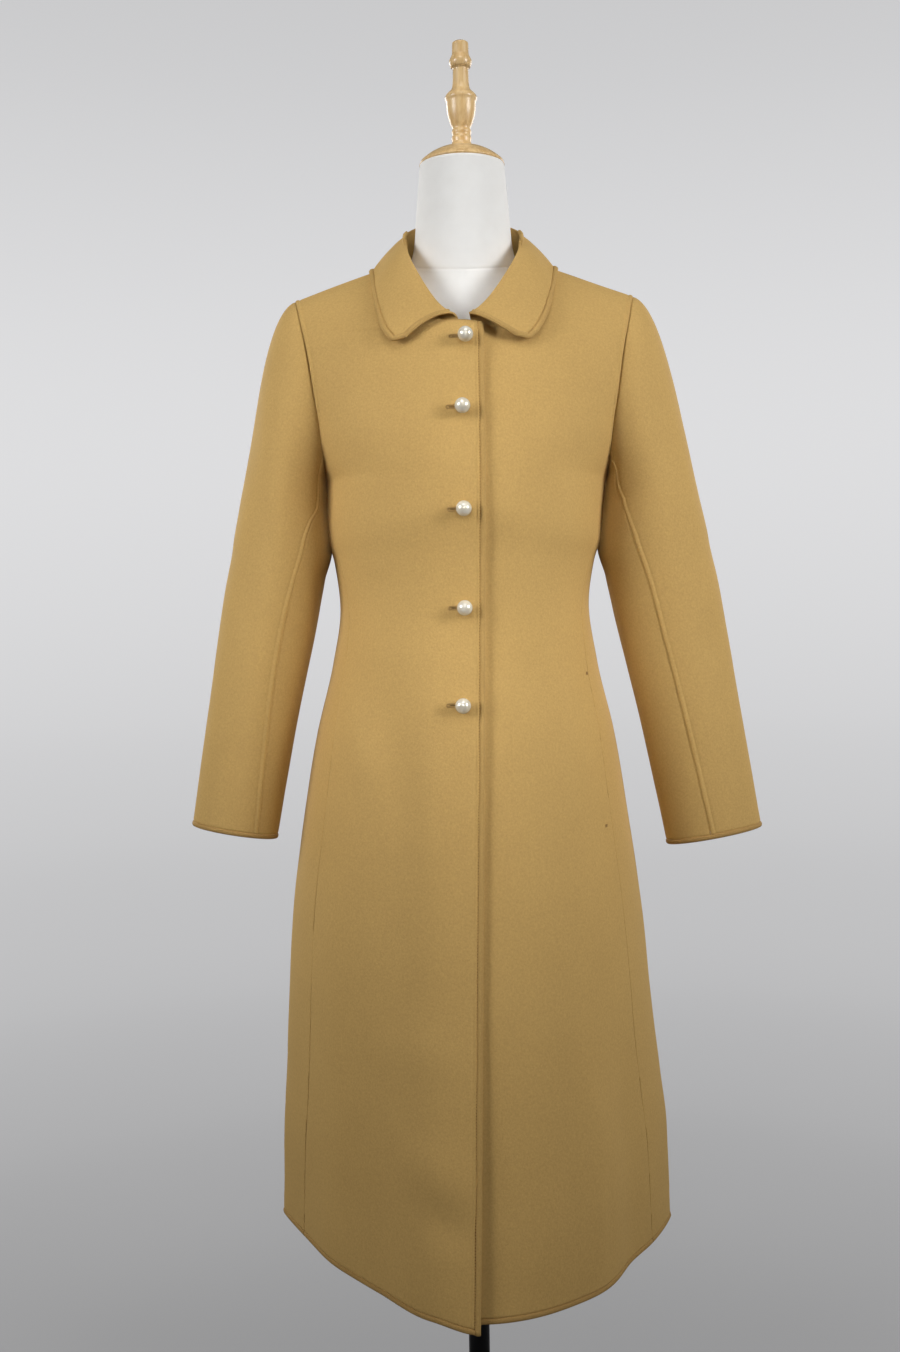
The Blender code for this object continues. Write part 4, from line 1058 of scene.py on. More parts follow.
join(
    nap,
    (place, "Object", brushed, "Vector"),
    (place, "Object", cloud, "Vector"),
    (place, "Object", fibre, "Vector"),
    (brushed, "Vector", streak, "Vector"),
    (nap_in, "Melange", fibre, "Scale"),
    (streak, "Fac", both, 0),
    (fibre, "Fac", both, 2),
    (cloud, "Fac", cloudy, 0),
    (nap_in, "Clouds", cloudy, 1),
    (both, 0, cloudy, 2),
    (cloudy, 0, spread, "Value"),
    (spread, "Result", shade, "Factor"),
    (nap_in, "Dark", shade, "A"),
    (nap_in, "Light", shade, "B"),
    (fibre, "Fac", rough, "Value"),
    (shade, "Result", nap_out, "Color"),
    (rough, "Result", nap_out, "Roughness"),
    (both, 0, nap_out, "Height"),
)
print("nap group nodes:", len(nap.nodes))


# %% Wool, binding and thread
NAP_HEIGHT = 0.0007


def wool_finish(name, light, dark, melange, clouds, sheen, strength):
    """A wool: two shades, the fineness of its melange, its clouds, its sheen and its bump."""
    made, tree, shader = new_material(name, 0.85)
    fuzz = add_node(tree, "ShaderNodeGroup", node_tree=nap)
    fuzz.inputs["Light"].default_value = (*light, 1.0)
    fuzz.inputs["Dark"].default_value = (*dark, 1.0)
    fuzz.inputs["Melange"].default_value = melange
    fuzz.inputs["Clouds"].default_value = clouds
    join(tree, (fuzz, "Color", shader, "Base Color"), (fuzz, "Roughness", shader, "Roughness"))
    bumped(tree, shader, fuzz, "Height", strength, NAP_HEIGHT)
    shader.inputs["Specular IOR Level"].default_value = 0.25
    shader.inputs["Sheen Weight"].default_value = sheen
    shader.inputs["Sheen Roughness"].default_value = 0.5
    shader.inputs["Sheen Tint"].default_value = (1.0, 0.80, 0.46, 1.0)
    return made


wool = wool_finish("camel_wool", (0.60, 0.385, 0.130), (0.45, 0.280, 0.088), 430.0, 0.30, 0.10, 0.35)
# The lips and bindings are the same wool as the cloth. Their darker colours are painted shade: slightly
# darker on the lips of the fronts and collar, darker still on the hem and cuff bindings.
painted_shade_lip_wool = wool_finish("camel_lip_painted_shade", (0.54, 0.342, 0.114), (0.40, 0.245, 0.077), 520.0, 0.20, 0.09, 0.32)
binding = wool_finish("camel_binding_painted_shade", (0.47, 0.290, 0.095), (0.34, 0.200, 0.062), 620.0, 0.15, 0.08, 0.30)
thread = wool_finish("camel_thread", (0.36, 0.210, 0.070), (0.24, 0.130, 0.042), 900.0, 0.10, 0.06, 0.20)
print("wool finishes: 4")

# %% [markdown]
# ## Meshes from grids
# A grid becomes a sheet of quads, and a Solidify modifier gives it the thickness of the cloth, inwards, so
# its outer face stays where the points are. A bound edge is a strip of wool folded over the raw edge. It
# could be a bevelled curve, but a tube of our own keeps the strip's section and follows the cloth's tilt.

# %% Mesh helpers
def add_object(name, shape, finish):
    """A smooth object from a bmesh, with one material."""
    mesh = bpy.data.meshes.new(name)
    shape.to_mesh(mesh)
    shape.free()
    mesh.materials.append(finish)
    mesh.shade_smooth()
    thing = bpy.data.objects.new(name, mesh)
    bpy.context.scene.collection.objects.link(thing)
    return thing


def add_piece(name, shape, finish, nodes):
    """An object that rides on the coat's body and stands for these CAD nodes."""
    piece = add_object(name, shape, finish)
    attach(piece, "root")
    if nodes:
        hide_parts(*nodes)
    return piece


def add_faces(shape, points, faces):
    corners = [shape.verts.new(point) for point in points]
    for face in faces:
        shape.faces.new([corners[index] for index in face])


def cloth(name, grids, wall, nodes):
    """A thin shell of wool over one grid, or over grids that share a line of points."""
    shape = bmesh.new()
    for grid in grids:
        add_faces(shape, grid.reshape(-1, 3).tolist(), grid_faces(*grid.shape[:2]))
    bmesh.ops.remove_doubles(shape, verts=shape.verts, dist=0.00001)
    piece = add_piece(name, shape, wool, nodes)
    thick = piece.modifiers.new("Cloth wall", "SOLIDIFY")
    thick.thickness = wall
    thick.offset = -1.0
    return piece


def tube_faces(rings, around, joined):
    """Faces between rings of points, closed by flat ends unless the last ring is joined to the first."""
    faces = []
    for ring in range(rings if joined else rings - 1):
        after = (ring + 1) % rings
        for place in range(around):
            beside = (place + 1) % around
            low, high = ring * around, after * around
            faces.append((low + place, low + beside, high + beside, high + place))
    if not joined:
        faces.append(tuple(range(around)))
        faces.append(tuple((rings - 1) * around + place for place in range(around)))
    return faces


def tube(name, rings, finish, nodes, joined=False):
    """A closed skin over rings of points, with flat ends or joined end to end."""
    shape = bmesh.new()
    add_faces(shape, rings.reshape(-1, 3).tolist(), tube_faces(*rings.shape[:2], joined))
    bmesh.ops.recalc_face_normals(shape, faces=shape.faces)
    return add_piece(name, shape, finish, nodes)


print("mesh helpers are ready")

# %% Bound edges and flat sizes
LIP = table(
    "inset rise",
    (0.0059, -0.0006),
    (0.0052, 0.0003),
    (0.0040, 0.0008),
    (0.0026, 0.0009),
    (0.0013, 0.0006),
    (0.0004, -0.0001),
    (0.0000, -0.0012),
    (0.0005, -0.0023),
    (0.0018, -0.0029),
    (0.0040, -0.0029),
    (0.0059, -0.0022),
)


def lip(name, edge, inward, normal, nodes, finish, joined=False):
    """A bound edge: the round section of a folded strip, carried along the edge of the cloth."""
    inset, rise = LIP["inset"][:, None], LIP["rise"][:, None]
    rings = edge[:, None] + inward[:, None] * inset + normal[:, None] * rise
    return tube(name, rings, finish, nodes, joined)


def declare_cut(grids):
    """Measure the lengths up the columns of a cut piece's grids; nothing is kept or declared."""
    columns = [lengths(line)[-1] for grid in grids for line in grid.swapaxes(0, 1)]


print("bound edges are", round(1000 * float(np.ptp(LIP["rise"])), 2), "mm thick")


# %% [markdown]
# ## Fronts
# The right front laps over the left one, and both are bound along the front edge and the hem. The bindings
# are pieces of their own, because they are sewn on. They are the same wool as the cloth, given darker
# colours as painted shade.

# %% Fronts with their bound edges
TOWARDS_FRONT = np.array([0.0, -1.0, 0.0])
EDGE_LEVELS = np.append(np.arange(HEM, FRONT_NECK, 0.004), FRONT_NECK)
HEM_LEVELS = (HEM, HEM + BINDING_WIDTH)
HEM_PLACES = 60


def front_edge_frame(side):
    """Edge points of a front from the hem up, with directions into the cloth and out of its face."""
    lines = [at_distances(front_row(side, level), [0, BINDING_WIDTH]) for level in EDGE_LEVELS]
    lines = mirrored(np.array(lines), side)
    return edge_frame(lines[:, 0], lines[:, 1], TOWARDS_FRONT)


def edge_frame(edge, inner, out):
    """An edge, its directions into the cloth towards inner points, and its directions on the out side."""
    inward = unit(inner - edge)
    normal = unit(np.cross(inward, np.gradient(edge, axis=0)))
    if np.ndim(out) == 1:
        out = np.broadcast_to(out, edge.shape)
    normal = normal * np.sign((normal * out).sum(axis=1))[:, None]
    return edge, inward, normal


def spaced(line, side, start, count):
    """Evenly spaced points on a level line of one side, from a start to the line's end."""
    return mirrored(at_distances(line, np.linspace(start, lengths(line)[-1], count)), side)


def front_hem_rows(side):
    """A front's lowest line and the upper edge of its hem binding."""
    start = BINDING_WIDTH - BINDING_TUCK
    return [spaced(front_row(side, level), side, start, HEM_PLACES) for level in HEM_LEVELS]


front_faces = {}
edge_frames = {}
for side, name in NAMES.items():
    inner_edge, outer_edge = ("first_column", "last_column")[::side]
    seams = {inner_edge: "bound", "last_row": "plain", "first_row": "plain"}
    front_faces[side] = relieved(fronts[side], seams, f"front_{name}", outer_edge)
    piece = cloth(f"cloth_front_{name}", [front_faces[side]], WALL, [f"front_{name}"])
    edge_frames[side] = front_edge_frame(side)
    edge = lip(f"binding_front_{name}", *edge_frames[side], [f"front_{name}_edge"], painted_shade_lip_wool)
    low_edge = edge_frame(*front_hem_rows(side), TOWARDS_FRONT)
    hem = lip(f"binding_hem_{name}", *low_edge, [f"front_{name}_hem"], binding)
    declare_cut([front_faces[side]])

# %% [markdown]
# ## Back
# The back is one piece that reaches round both sides to the side seams. One grid could not do, because the
# neck is cut out of its top. So it is made as two halves with a shared line up the centre, and that line
# is welded up to the neck.

# %% Back with its bound hem
BACK_HEM_PLACES = 80
back_faces = []
seams = {"last_row": "ridge", "first_row": "plain"}
for side, outer_edge in ((-1, "last_column"), (1, "first_column")):
    back_faces.append(relieved(backs[side], seams, "back", outer_edge))
centre = (back_faces[0][:, 0] + back_faces[1][:, -1]) / 2
below_neck = body_levels() <= BACK_NECK
for half, middle in ((0, 0), (1, -1)):
    back_faces[half][below_neck, middle] = centre[below_neck] * np.array([0.0, 1.0, 1.0])
back_piece = cloth("cloth_back", back_faces, WALL, ["back"])
hem_rows = []
for level in HEM_LEVELS:
    halves = [spaced(back_row(side, level), side, 0, BACK_HEM_PLACES) for side in NAMES]
    hem_rows.append(np.concatenate([halves[0], halves[1][-2::-1]]))
away = hem_rows[0] * np.array([1.0, 1.0, 0.0])
back_hem = lip("binding_hem_back", *edge_frame(*hem_rows, away), ["back_hem"], binding)
declare_cut(back_faces[::-1])

# %% [markdown]
# ## Sleeves and cuffs
# A sleeve's two pieces are sewn together and then set into the armhole. The armhole's ridge is on the
# body's side of that seam, and the sleeve's own seams have theirs on the upper piece. The cuff's binding
# goes round the whole sleeve, so it is a tube joined end to end.

# %% Sleeves
CUFF_SIDES = 96
for side, name in NAMES.items():
    hang = SLEEVE_HANG[side]
    angles = np.arange(CUFF_SIDES) * 360 / CUFF_SIDES
    rings = [sleeve_row(2 - inset / sleeve_length(hang), angles, hang) for inset in (0.0, BINDING_WIDTH)]
    rings = mirrored(np.array(rings), side)
    middle = rings[0].mean(axis=0)
    around = np.concatenate([rings, rings[:, :1]], axis=1)
    ring = [values[:-1] for values in edge_frame(*around, around[0] - middle)]
    cuff = lip(f"binding_cuff_{name}", *ring, [f"cuff_{name}"], binding, joined=True)
    for under, part in ((False, "upper"), (True, "under")):
        kind = "plain" if under else "ridge"
        seams = {"first_column": kind, "last_column": kind, "last_row": "plain", "first_row": "plain"}
        face = relieved(sleeves[side, under], seams, f"sleeve_{name}")
        piece = cloth(f"cloth_sleeve_{part}_{name}", [face], WALL, [f"sleeve_{part}_{name}"])
        declare_cut([face])

# %% [markdown]
# ## Collar
# Along its ends and its outer edge the collar has the same bound lip as the fronts. A boolean could cut the
# ditch beside the lip, but the collar is already a fine grid, so its points are simply lowered there.

# %% Collar and its edge
COLLAR_DITCH = 0.0015
COLLAR_DITCH_WIDTH = 0.0011


def collar_edge_frame(grid, normals):
    """The collar's outline from one front end round the outer edge to the other."""
    first = len(STAND_PLACES) + 1
    outline, out = [
        np.concatenate([points[0, first:-1], points[:, -1], points[-1, -2 : first - 1 : -1]])
        for points in (grid, normals)
    ]
    along = np.gradient(outline, axis=0)
    inward = unit(np.cross(out, along))
    return outline, inward, unit(np.cross(along, inward))


normals = grid_normals(collar_points)
distances = edge_distances(collar_points)
to_edge = np.minimum(distances["last_column"], np.minimum(distances["first_row"], distances["last_row"]))
ditch = COLLAR_DITCH * np.exp(-(((to_edge - BINDING_WIDTH) / COLLAR_DITCH_WIDTH) ** 2))
ditch[:, : len(STAND_PLACES)] = 0.0
collar_face = collar_points - normals * ditch[..., None]
collar_piece = cloth("cloth_collar", [collar_face], COLLAR_WALL, ["collar"])
outline, inward, out = collar_edge_frame(collar_face, normals)
collar_lip = lip("binding_collar", outline, inward, out, ["collar_edge"], painted_shade_lip_wool)
declare_cut([collar_face])

# %% [markdown]
# ## Hand sewing
# The front bindings are held by a ladder of small stitches in the ditch beside them. Thread is modelled as
# small grains: one long round grain is shaped once and set down along the seam many times in a single mesh.
# Curves with a bevel would also do, but a few hundred of them are slow to handle.

# %% A grain of thread
grain_shape = bmesh.new()
bmesh.ops.create_uvsphere(grain_shape, u_segments=8, v_segments=6, radius=0.5)
GRAIN = np.array([corner.co[:] for corner in grain_shape.verts])
GRAIN_FACES = []
for face in grain_shape.faces:
    corners = [corner.index for corner in face.verts]
    first = corners.index(min(corners))
    GRAIN_FACES.append(corners[first:] + corners[:first])
# Blender gives a sphere's faces in no fixed order, so they are sorted
GRAIN_FACES.sort()
grain_shape.free()


def stitches(name, places, along, out, long, thick, finish=None):
    """Grains of thread at these places, each lying along its own direction."""
    shape = bmesh.new()
    for place, way, up in zip(places, unit(np.asarray(along)), unit(np.asarray(out))):
        turn_to = np.array([np.cross(up, way) * thick, up * thick, way * long])
        add_faces(shape, (place + GRAIN @ turn_to).tolist(), GRAIN_FACES)
    return add_piece(name, shape, finish or thread, [])


print("corners of a grain:", len(GRAIN))

# %% Ladder stitches beside the front bindings
LADDER_PITCH = 0.0030
LADDER_LONG = 0.0024
LADDER_THICK = 0.0006
LADDER_START = 0.010
LADDER_STOP = 0.004
LADDER_PAST = 0.0002
LADDER_SUNK = 0.0004
for side, name in NAMES.items():
    edge, inward, normal = edge_frames[side]
    reach = lengths(edge)
    spots = np.arange(LADDER_START, reach[-1] - LADDER_STOP, LADDER_PITCH)
    at, into, out = [
        np.stack([np.interp(spots, reach, values[:, axis]) for axis in range(3)], axis=1)
        for values in (edge, inward, normal)
    ]
    ladder = at + into * (BINDING_WIDTH + LADDER_PAST) - out * LADDER_SUNK
    stitches(f"stitches_front_{name}", ladder, into, out, LADDER_LONG, LADDER_THICK)
    print("stitches:", len(spots))

# %% [markdown]
# ## Buttonholes and pocket tacks
# Each buttonhole is a short slit edged with close thread, and only its outer end shows beside the pearl.
# Cutting a slit this narrow would tear the grid, so near-black grains of thread are laid in it as painted
# shade for its depth. The pockets lie in the side seams, where a bar of thread holds each end of the
# opening. Only the left front's are seen. A ray cast from straight ahead finds where each thread lies on
# the cloth.

# %% Buttonholes
front_trees = {side: surface_tree([front_faces[side]]) for side in NAMES}
BUTTONS = range(1, 6)
HOLE_LONG = 0.021
HOLE_PAST = 0.0160
HOLE_HALF = 0.0015
PURL_PITCH = 0.0007
PURL_LONG = 0.0022
PURL_THICK = 0.0008
PURL_LIFT = 0.0002
PURL_LEAN = 0.12
END_TURNS = np.radians(np.linspace(-65, 65, 5))
END_LONG = 0.0007
END_HALF = 0.0011
SLIT_SHARES = (0.22, 0.36, 0.5, 0.7)
SLIT_LONG = 0.0060
SLIT_THICK = 0.0008
purl = wool_finish("camel_purl", (0.50, 0.315, 0.115), (0.38, 0.235, 0.082), 900.0, 0.10, 0.06, 0.20)
# Near-black finish for the grains in each slit: painted shade for the slit's depth
slit_painted_shade = wool_finish("slit_shadow", (0.10, 0.055, 0.018), (0.06, 0.03, 0.010), 700.0, 0.1, 0.0, 0.1)


def on_front(side, x, z):
    """The point of a front that is seen at x and z from straight ahead, and its outward direction."""
    spot, normal, _, _ = front_trees[side].ray_cast(Vector((x, -1.0, z)), Vector((0.0, 1.0, 0.0)))
    return np.array(spot), np.array(normal)


def sew(name, side, places, ways, lift, long, thick, finish=None):
    """Grains of thread at these x and z on a front, lifted a little off the cloth."""
    found = [on_front(side, x, z) for x, z in places]
    spots = np.array([spot + up * lift for spot, up in found])
    stitches(name, spots, ways, [up for _, up in found], long, thick, finish)


def purl_places(start, middle_z):
    """Places and directions of the thread along both sides of a buttonhole and round its end."""
    places, ways = [], []
    for x in np.arange(start, start + HOLE_LONG, PURL_PITCH):
        for half in (-1, 1):
            places.append((x, middle_z + half * HOLE_HALF))
            ways.append((PURL_LEAN * half, 0.0, 1.0))
    for turn in END_TURNS:
        places.append((start - END_LONG * math.cos(turn), middle_z + END_HALF * math.sin(turn)))
        ways.append((math.cos(turn), 0.0, -math.sin(turn)))
    return places, ways


def button_middle(number):
    low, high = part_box(f"button_{number}")
    return (np.array(low) + np.array(high)) / 2


for number in BUTTONS:
    middle_x, _, middle_z = button_middle(number)
    start = middle_x - HOLE_PAST
    places, ways = purl_places(start, middle_z)
    sew(f"buttonhole_{number}", -1, places, ways, PURL_LIFT, PURL_LONG, PURL_THICK, purl)
    # The slit: near-black grains as painted shade in its depth
    places = [(start + HOLE_LONG * share, middle_z) for share in SLIT_SHARES]
    ways = [(1.0, 0.0, 0.0)] * len(places)
    sew(f"slit_{number}", -1, places, ways, 0.0, SLIT_LONG, SLIT_THICK, slit_painted_shade)
print("buttonholes:", len(BUTTONS))

# %% Pocket tacks
TACKS = table(
    "x z",
    (0.1270, 0.935),
    (0.1440, 0.771),
)
TACK_RISES = np.linspace(-0.0012, 0.0012, 4)
TACK_LIFT = 0.0003
TACK_LONG = 0.0055
TACK_THICK = 0.0009
for row, (x, z) in enumerate(zip(TACKS["x"], TACKS["z"])):
    places = [(x, z + rise) for rise in TACK_RISES]
    ways = [np.cross(on_front(1, *place)[1], (0.0, 0.0, 1.0)) for place in places]
    sew(f"pocket_tack_{row + 1}", 1, places, ways, TACK_LIFT, TACK_LONG, TACK_THICK)
print("tacks:", len(TACKS["x"]))

# %% [markdown]
# ## Pearl buttons
# A pearl button is a ball on a short shank. The CAD ball has flat facets that a gloss would show, so a fine
# one takes its place, turned on an axis that stands out of the cloth. Nacre is a pale, milky skin: cream
# with faint clouds under a clear gloss, which the shader's coat gives.

# %% Nacre
nacre, tree, shader = new_material("pearl_nacre", 0.22, 0.20)
place = tree.nodes.new("ShaderNodeTexCoord")
clouds = add_node(tree, "ShaderNodeTexNoise", Scale=160.0, Detail=2.0)
tints = two_tones(tree, 0.35, (0.80, 0.73, 0.57), 0.68, (0.90, 0.86, 0.75))
gloss = carried_to(tree, 0.12, 0.24)
mottled(tree, shader, (place, "Object"), clouds, tints, gloss)
shader.inputs["Coat Weight"].default_value = 1.0
shader.inputs["Coat Roughness"].default_value = 0.06
print("nacre nodes:", len(tree.nodes))

# %% Buttons
PEARL_RADIUS = 0.00825
PEARL_RINGS = 30
PEARL_SIDES = 40
PEARL_TOP = 0.02 * math.pi
SHANK_RADIUS = 0.0028
SHANK_LENGTH = 0.0020


def turned_rings(radii, heights, sides):
    """Level rings of points about the z axis."""
    turn = np.arange(sides) * 2 * math.pi / sides
    ring = np.stack([np.cos(turn), np.sin(turn), np.zeros(sides)], axis=1)
    return ring * np.reshape(radii, (-1, 1, 1)) + np.reshape(heights, (-1, 1, 1)) * [0, 0, 1]


def turned(name, radii, heights, sides, place, way, finish, nodes):
    """A turned piece: a line of radii and heights carried round an axis."""
    turn_to = np.array(Vector(way).to_track_quat("Z", "Y").to_matrix())
    rings = turned_rings(radii, heights, sides) @ turn_to.T + np.asarray(place)
    return tube(name, rings, finish, nodes)


low_turn = math.pi - math.asin(SHANK_RADIUS / PEARL_RADIUS)
pearl_turns = np.linspace(PEARL_TOP, low_turn, PEARL_RINGS)
pearl_centre = SHANK_LENGTH - PEARL_RADIUS * math.cos(low_turn)
pearl_radii = [*(PEARL_RADIUS * np.sin(pearl_turns)), SHANK_RADIUS, SHANK_RADIUS]
pearl_heights = [*(pearl_centre + PEARL_RADIUS * np.cos(pearl_turns)), SHANK_LENGTH * 0.5, 0.0]
for number in BUTTONS:
    middle = button_middle(number)
    nearest, way, _, _ = front_trees[-1].find_nearest(Vector(middle))
    way = np.array(way)
    foot = middle - way * float((middle - np.array(nearest)) @ way)
    node = f"button_{number}"
    turned(f"pearl_{number}", pearl_radii, pearl_heights, PEARL_SIDES, foot, way, nacre, [node])
print("pearls:", len(BUTTONS), "of radius", PEARL_RADIUS)

# %% [markdown]
# ## Dress form
# The form is padded and covered in plain white cloth. A seam runs round its neck and another down its
# centre front. The coat hides the rest, which is finished in the same way. The weave is too fine to model,
# so two crossed waves give it to the bump.

# %% Cover cloth
cover, tree, shader = new_material("form_cover", 0.8)
place = tree.nodes.new("ShaderNodeTexCoord")
wave_round = add_node(tree, "ShaderNodeTexWave", Scale=420.0, Distortion=0.6, bands_direction="Z")
wave_down = add_node(tree, "ShaderNodeTexWave", Scale=420.0, Distortion=0.6, bands_direction="X")
weave = add_node(tree, "ShaderNodeMath", operation="MULTIPLY")
slubs = add_node(tree, "ShaderNodeTexNoise", Scale=60.0, Detail=4.0)
whites = two_tones(tree, 0.0, (0.84, 0.83, 0.805), 1.0, (0.91, 0.905, 0.885))
for texture in (wave_round, wave_down, slubs):
    join(tree, (place, "Object", texture, "Vector"))
join(
    tree,
    (wave_round, "Fac", weave, 0),
    (wave_down, "Fac", weave, 1),
    (slubs, "Fac", whites, "Fac"),
    (whites, "Color", shader, "Base Color"),
)
bumped(tree, shader, weave, 0, 0.12, 0.0004)
shader.inputs["Sheen Weight"].default_value = 0.1
print("cover nodes:", len(tree.nodes))

# %% Form body
FORM = table(
    "z width front back bow crown",
    (0.800, 0.1480, 0.1130, 0.0760, 2.2, 1.9),
    (0.868, 0.1530, 0.1200, 0.0830, 2.2, 1.9),
    (0.949, 0.1360, 0.1100, 0.0700, 2.2, 1.9),
    (1.010, 0.1260, 0.1030, 0.0650, 2.2, 1.9),
    (1.060, 0.1310, 0.1080, 0.0700, 2.2, 1.9),
    (1.120, 0.1400, 0.1160, 0.0780, 2.3, 1.9),
    (1.180, 0.1440, 0.1100, 0.0850, 2.3, 1.8),
    (1.240, 0.1480, 0.0950, 0.0860, 2.3, 1.5),
    (1.290, 0.1560, 0.0800, 0.0780, 2.0, 1.3),
    (1.320, 0.1620, 0.0690, 0.0680, 1.7, 1.1),
    (1.338, 0.1560, 0.0620, 0.0620, 1.6, 1.0),
    (1.352, 0.1330, 0.0570, 0.0580, 1.6, 1.0),
    (1.364, 0.1030, 0.0530, 0.0550, 1.7, 1.1),
    (1.376, 0.0760, 0.0510, 0.0530, 1.8, 1.3),
    (1.390, 0.0605, 0.0505, 0.0520, 2.0, 1.7),
    (1.410, 0.0550, 0.0500, 0.0515, 2.0, 2.0),
    (1.450, 0.0515, 0.0490, 0.0500, 2.0, 2.0),
    (1.500, 0.0470, 0.0470, 0.0470, 2.0, 2.0),
)
FORM_SIDES = 240
NECK_SEAM = 1.3905
NECK_SEAM_TILT = 0.31
FORM_DITCH = 0.0007
FORM_DITCH_WIDTH = 0.0012


def form_ring(height):
    """Points round the form at one height, lowered at the seams of its cover."""
    at = {name: float(column(FORM, name, height, "z")) for name in FORM if name != "z"}
    turn = np.arange(FORM_SIDES) * 2 * math.pi / FORM_SIDES
    side = np.array([at["width"], 0.0, height])
    rings = []
    for depth in (-at["front"], at["back"]):
        rings.append(section(np.cos(turn), depth, height, side, at["bow"], at["crown"]))
    ring = np.where((np.sin(turn) < 0)[:, None], rings[0], rings[1])
    above_seam = height - NECK_SEAM - NECK_SEAM_TILT * ring[:, 1]
    round_neck = np.exp(-((above_seam / FORM_DITCH_WIDTH) ** 2))
    down_front = np.exp(-((ring[:, 0] / FORM_DITCH_WIDTH) ** 2)) * (above_seam < 0)
    ditch = np.maximum(round_neck, down_front)
    return ring - unit(ring * [1, 1, 0]) * (FORM_DITCH * ditch)[:, None]


form_heights = stretches(
    (FORM["z"][0], NECK_SEAM - 0.021, 110),
    (NECK_SEAM - 0.020, NECK_SEAM + 0.020, 54),
    (NECK_SEAM + 0.022, FORM["z"][-1], 30),
)
form_rings = np.array([form_ring(height) for height in form_heights])
form_piece = tube("form_padded_body", form_rings, cover, ["form_body"])
print("form rings:", len(form_heights))

# %% [markdown]
# ## Turned wood
# The neck cap and the finial are turned on a lathe from pale honey-coloured wood and lacquered. A Screw
# modifier could turn their outlines too, but the rings of the pearls do it as well. The grain is a noise
# drawn out along the lathe's axis, with fine tool rings left by the turning.

# %% Wood
wood, tree, shader = new_material("honey_wood", 0.35)
place = tree.nodes.new("ShaderNodeTexCoord")
drawn = add_node(tree, "ShaderNodeMapping", Scale=(1.0, 1.0, 0.10))
grain = add_node(tree, "ShaderNodeTexNoise", Scale=230.0, Detail=5.0, Roughness=0.6, Distortion=0.4)
honey = two_tones(tree, 0.30, (0.70, 0.43, 0.17), 0.66, (0.92, 0.66, 0.33))
satin = carried_to(tree, 0.28, 0.45)
rings_left = add_node(tree, "ShaderNodeTexWave", Scale=300.0, Distortion=0.3, bands_direction="Z")
join(tree, (place, "Object", drawn, "Vector"), (place, "Object", rings_left, "Vector"))
mottled(tree, shader, (drawn, "Vector"), grain, honey, satin)
bumped(tree, shader, rings_left, "Fac", 0.05, 0.0003)
shader.inputs["Coat Weight"].default_value = 0.35
shader.inputs["Coat Roughness"].default_value = 0.15
print("wood nodes:", len(tree.nodes))

# %% Cap and finial
FORM_TOP = FORM["z"][-1]
WOOD_GAP = 0.0003
WOOD_SIDES = 64
UP = (0, 0, 1)
CAP_PROFILE = table(
    "radius height",
    (0.0130, 0.0205),
    (0.0230, 0.0180),
    (0.0340, 0.0130),
    (0.0420, 0.0075),
    (0.0470, 0.0025),
    (0.0475, 0.0005),
)
FINIAL_PROFILE = table(
    "radius height",
    (0.0070, 0.1150),
    (0.0088, 0.1135),
    (0.0094, 0.1010),
    (0.0105, 0.0985),
    (0.0126, 0.0930),
    (0.0112, 0.0875),
    (0.0086, 0.0850),
    (0.0090, 0.0700),
    (0.0100, 0.0640),
    (0.0168, 0.0560),
    (0.0180, 0.0530),
    (0.0168, 0.0490),
    (0.0158, 0.0380),
    (0.0130, 0.0270),
    (0.0100, 0.0190),
    (0.0110, 0.0160),
    (0.0101, 0.0125),
    (0.0110, 0.0090),
    (0.0106, 0.0050),
    (0.0128, 0.0000),
)


def rounded_profile(profile, count):
    """More points on a turned outline, softly curved between the table's rows."""
    outline = np.stack([profile["radius"], profile["height"]], axis=1)
    reach = lengths(outline)
    fine = np.linspace(0, reach[-1], count)
    return smooth(reach, profile["radius"], fine), smooth(reach, profile["height"], fine)


cap_top = FORM_TOP + CAP_PROFILE["height"][0] + WOOD_GAP
for name, profile, count, height in (
    ("neck_cap", CAP_PROFILE, 30, FORM_TOP),
    ("finial", FINIAL_PROFILE, 130, cap_top),
):
    radii, heights = rounded_profile(profile, count)
    turned(f"wood_{name}", radii, heights, WOOD_SIDES, (0, 0, height), UP, wood, [name])
print("turned wood: cap and finial")

# %% [markdown]
# ## Pole and base
# The pole and the round base are steel with a black satin coat. A bevel on the solids would round their
# edges as well, but both are plain turned shapes, so they are turned again with finer sides.

# %% Black steel
steel, tree, shader = new_material("black_satin_steel", 0.4, 0.3)
place = tree.nodes.new("ShaderNodeTexCoord")
speckle = add_node(tree, "ShaderNodeTexNoise", Scale=350.0, Detail=3.0)
dull = carried_to(tree, 0.32, 0.52)
blacks = two_tones(tree, 0.0, (0.012, 0.012, 0.013), 1.0, (0.026, 0.026, 0.028))
mottled(tree, shader, (place, "Object"), speckle, blacks, dull)
bumped(tree, shader, speckle, "Fac", 0.04, 0.0003)
print("steel nodes:", len(tree.nodes))

# %% Pole and base
BASE_PROFILE = table(
    "radius height",
    (0.0230, 0.0340),
    (0.0270, 0.0332),
    (0.0293, 0.0312),
    (0.0300, 0.0285),
    (0.0300, 0.0150),
    (0.0312, 0.0122),
    (0.0345, 0.0110),
    (0.1600, 0.0110),
    (0.1650, 0.0106),
    (0.1685, 0.0090),
    (0.1700, 0.0065),
    (0.1700, 0.0012),
    (0.1690, 0.0000),
)
BASE_SIDES = 128
POLE_RADIUS = 0.012
POLE_SIDES = 48
low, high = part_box("pole")
for name, radii, heights, sides in (
    ("base", BASE_PROFILE["radius"], BASE_PROFILE["height"], BASE_SIDES),
    ("pole", [POLE_RADIUS] * 2, [high[2], low[2]], POLE_SIDES),
):
    turned(f"steel_{name}", radii, heights, sides, (0, 0, 0), UP, steel, [name])
print("pole from", round(low[2], 4), "to", round(high[2], 4))

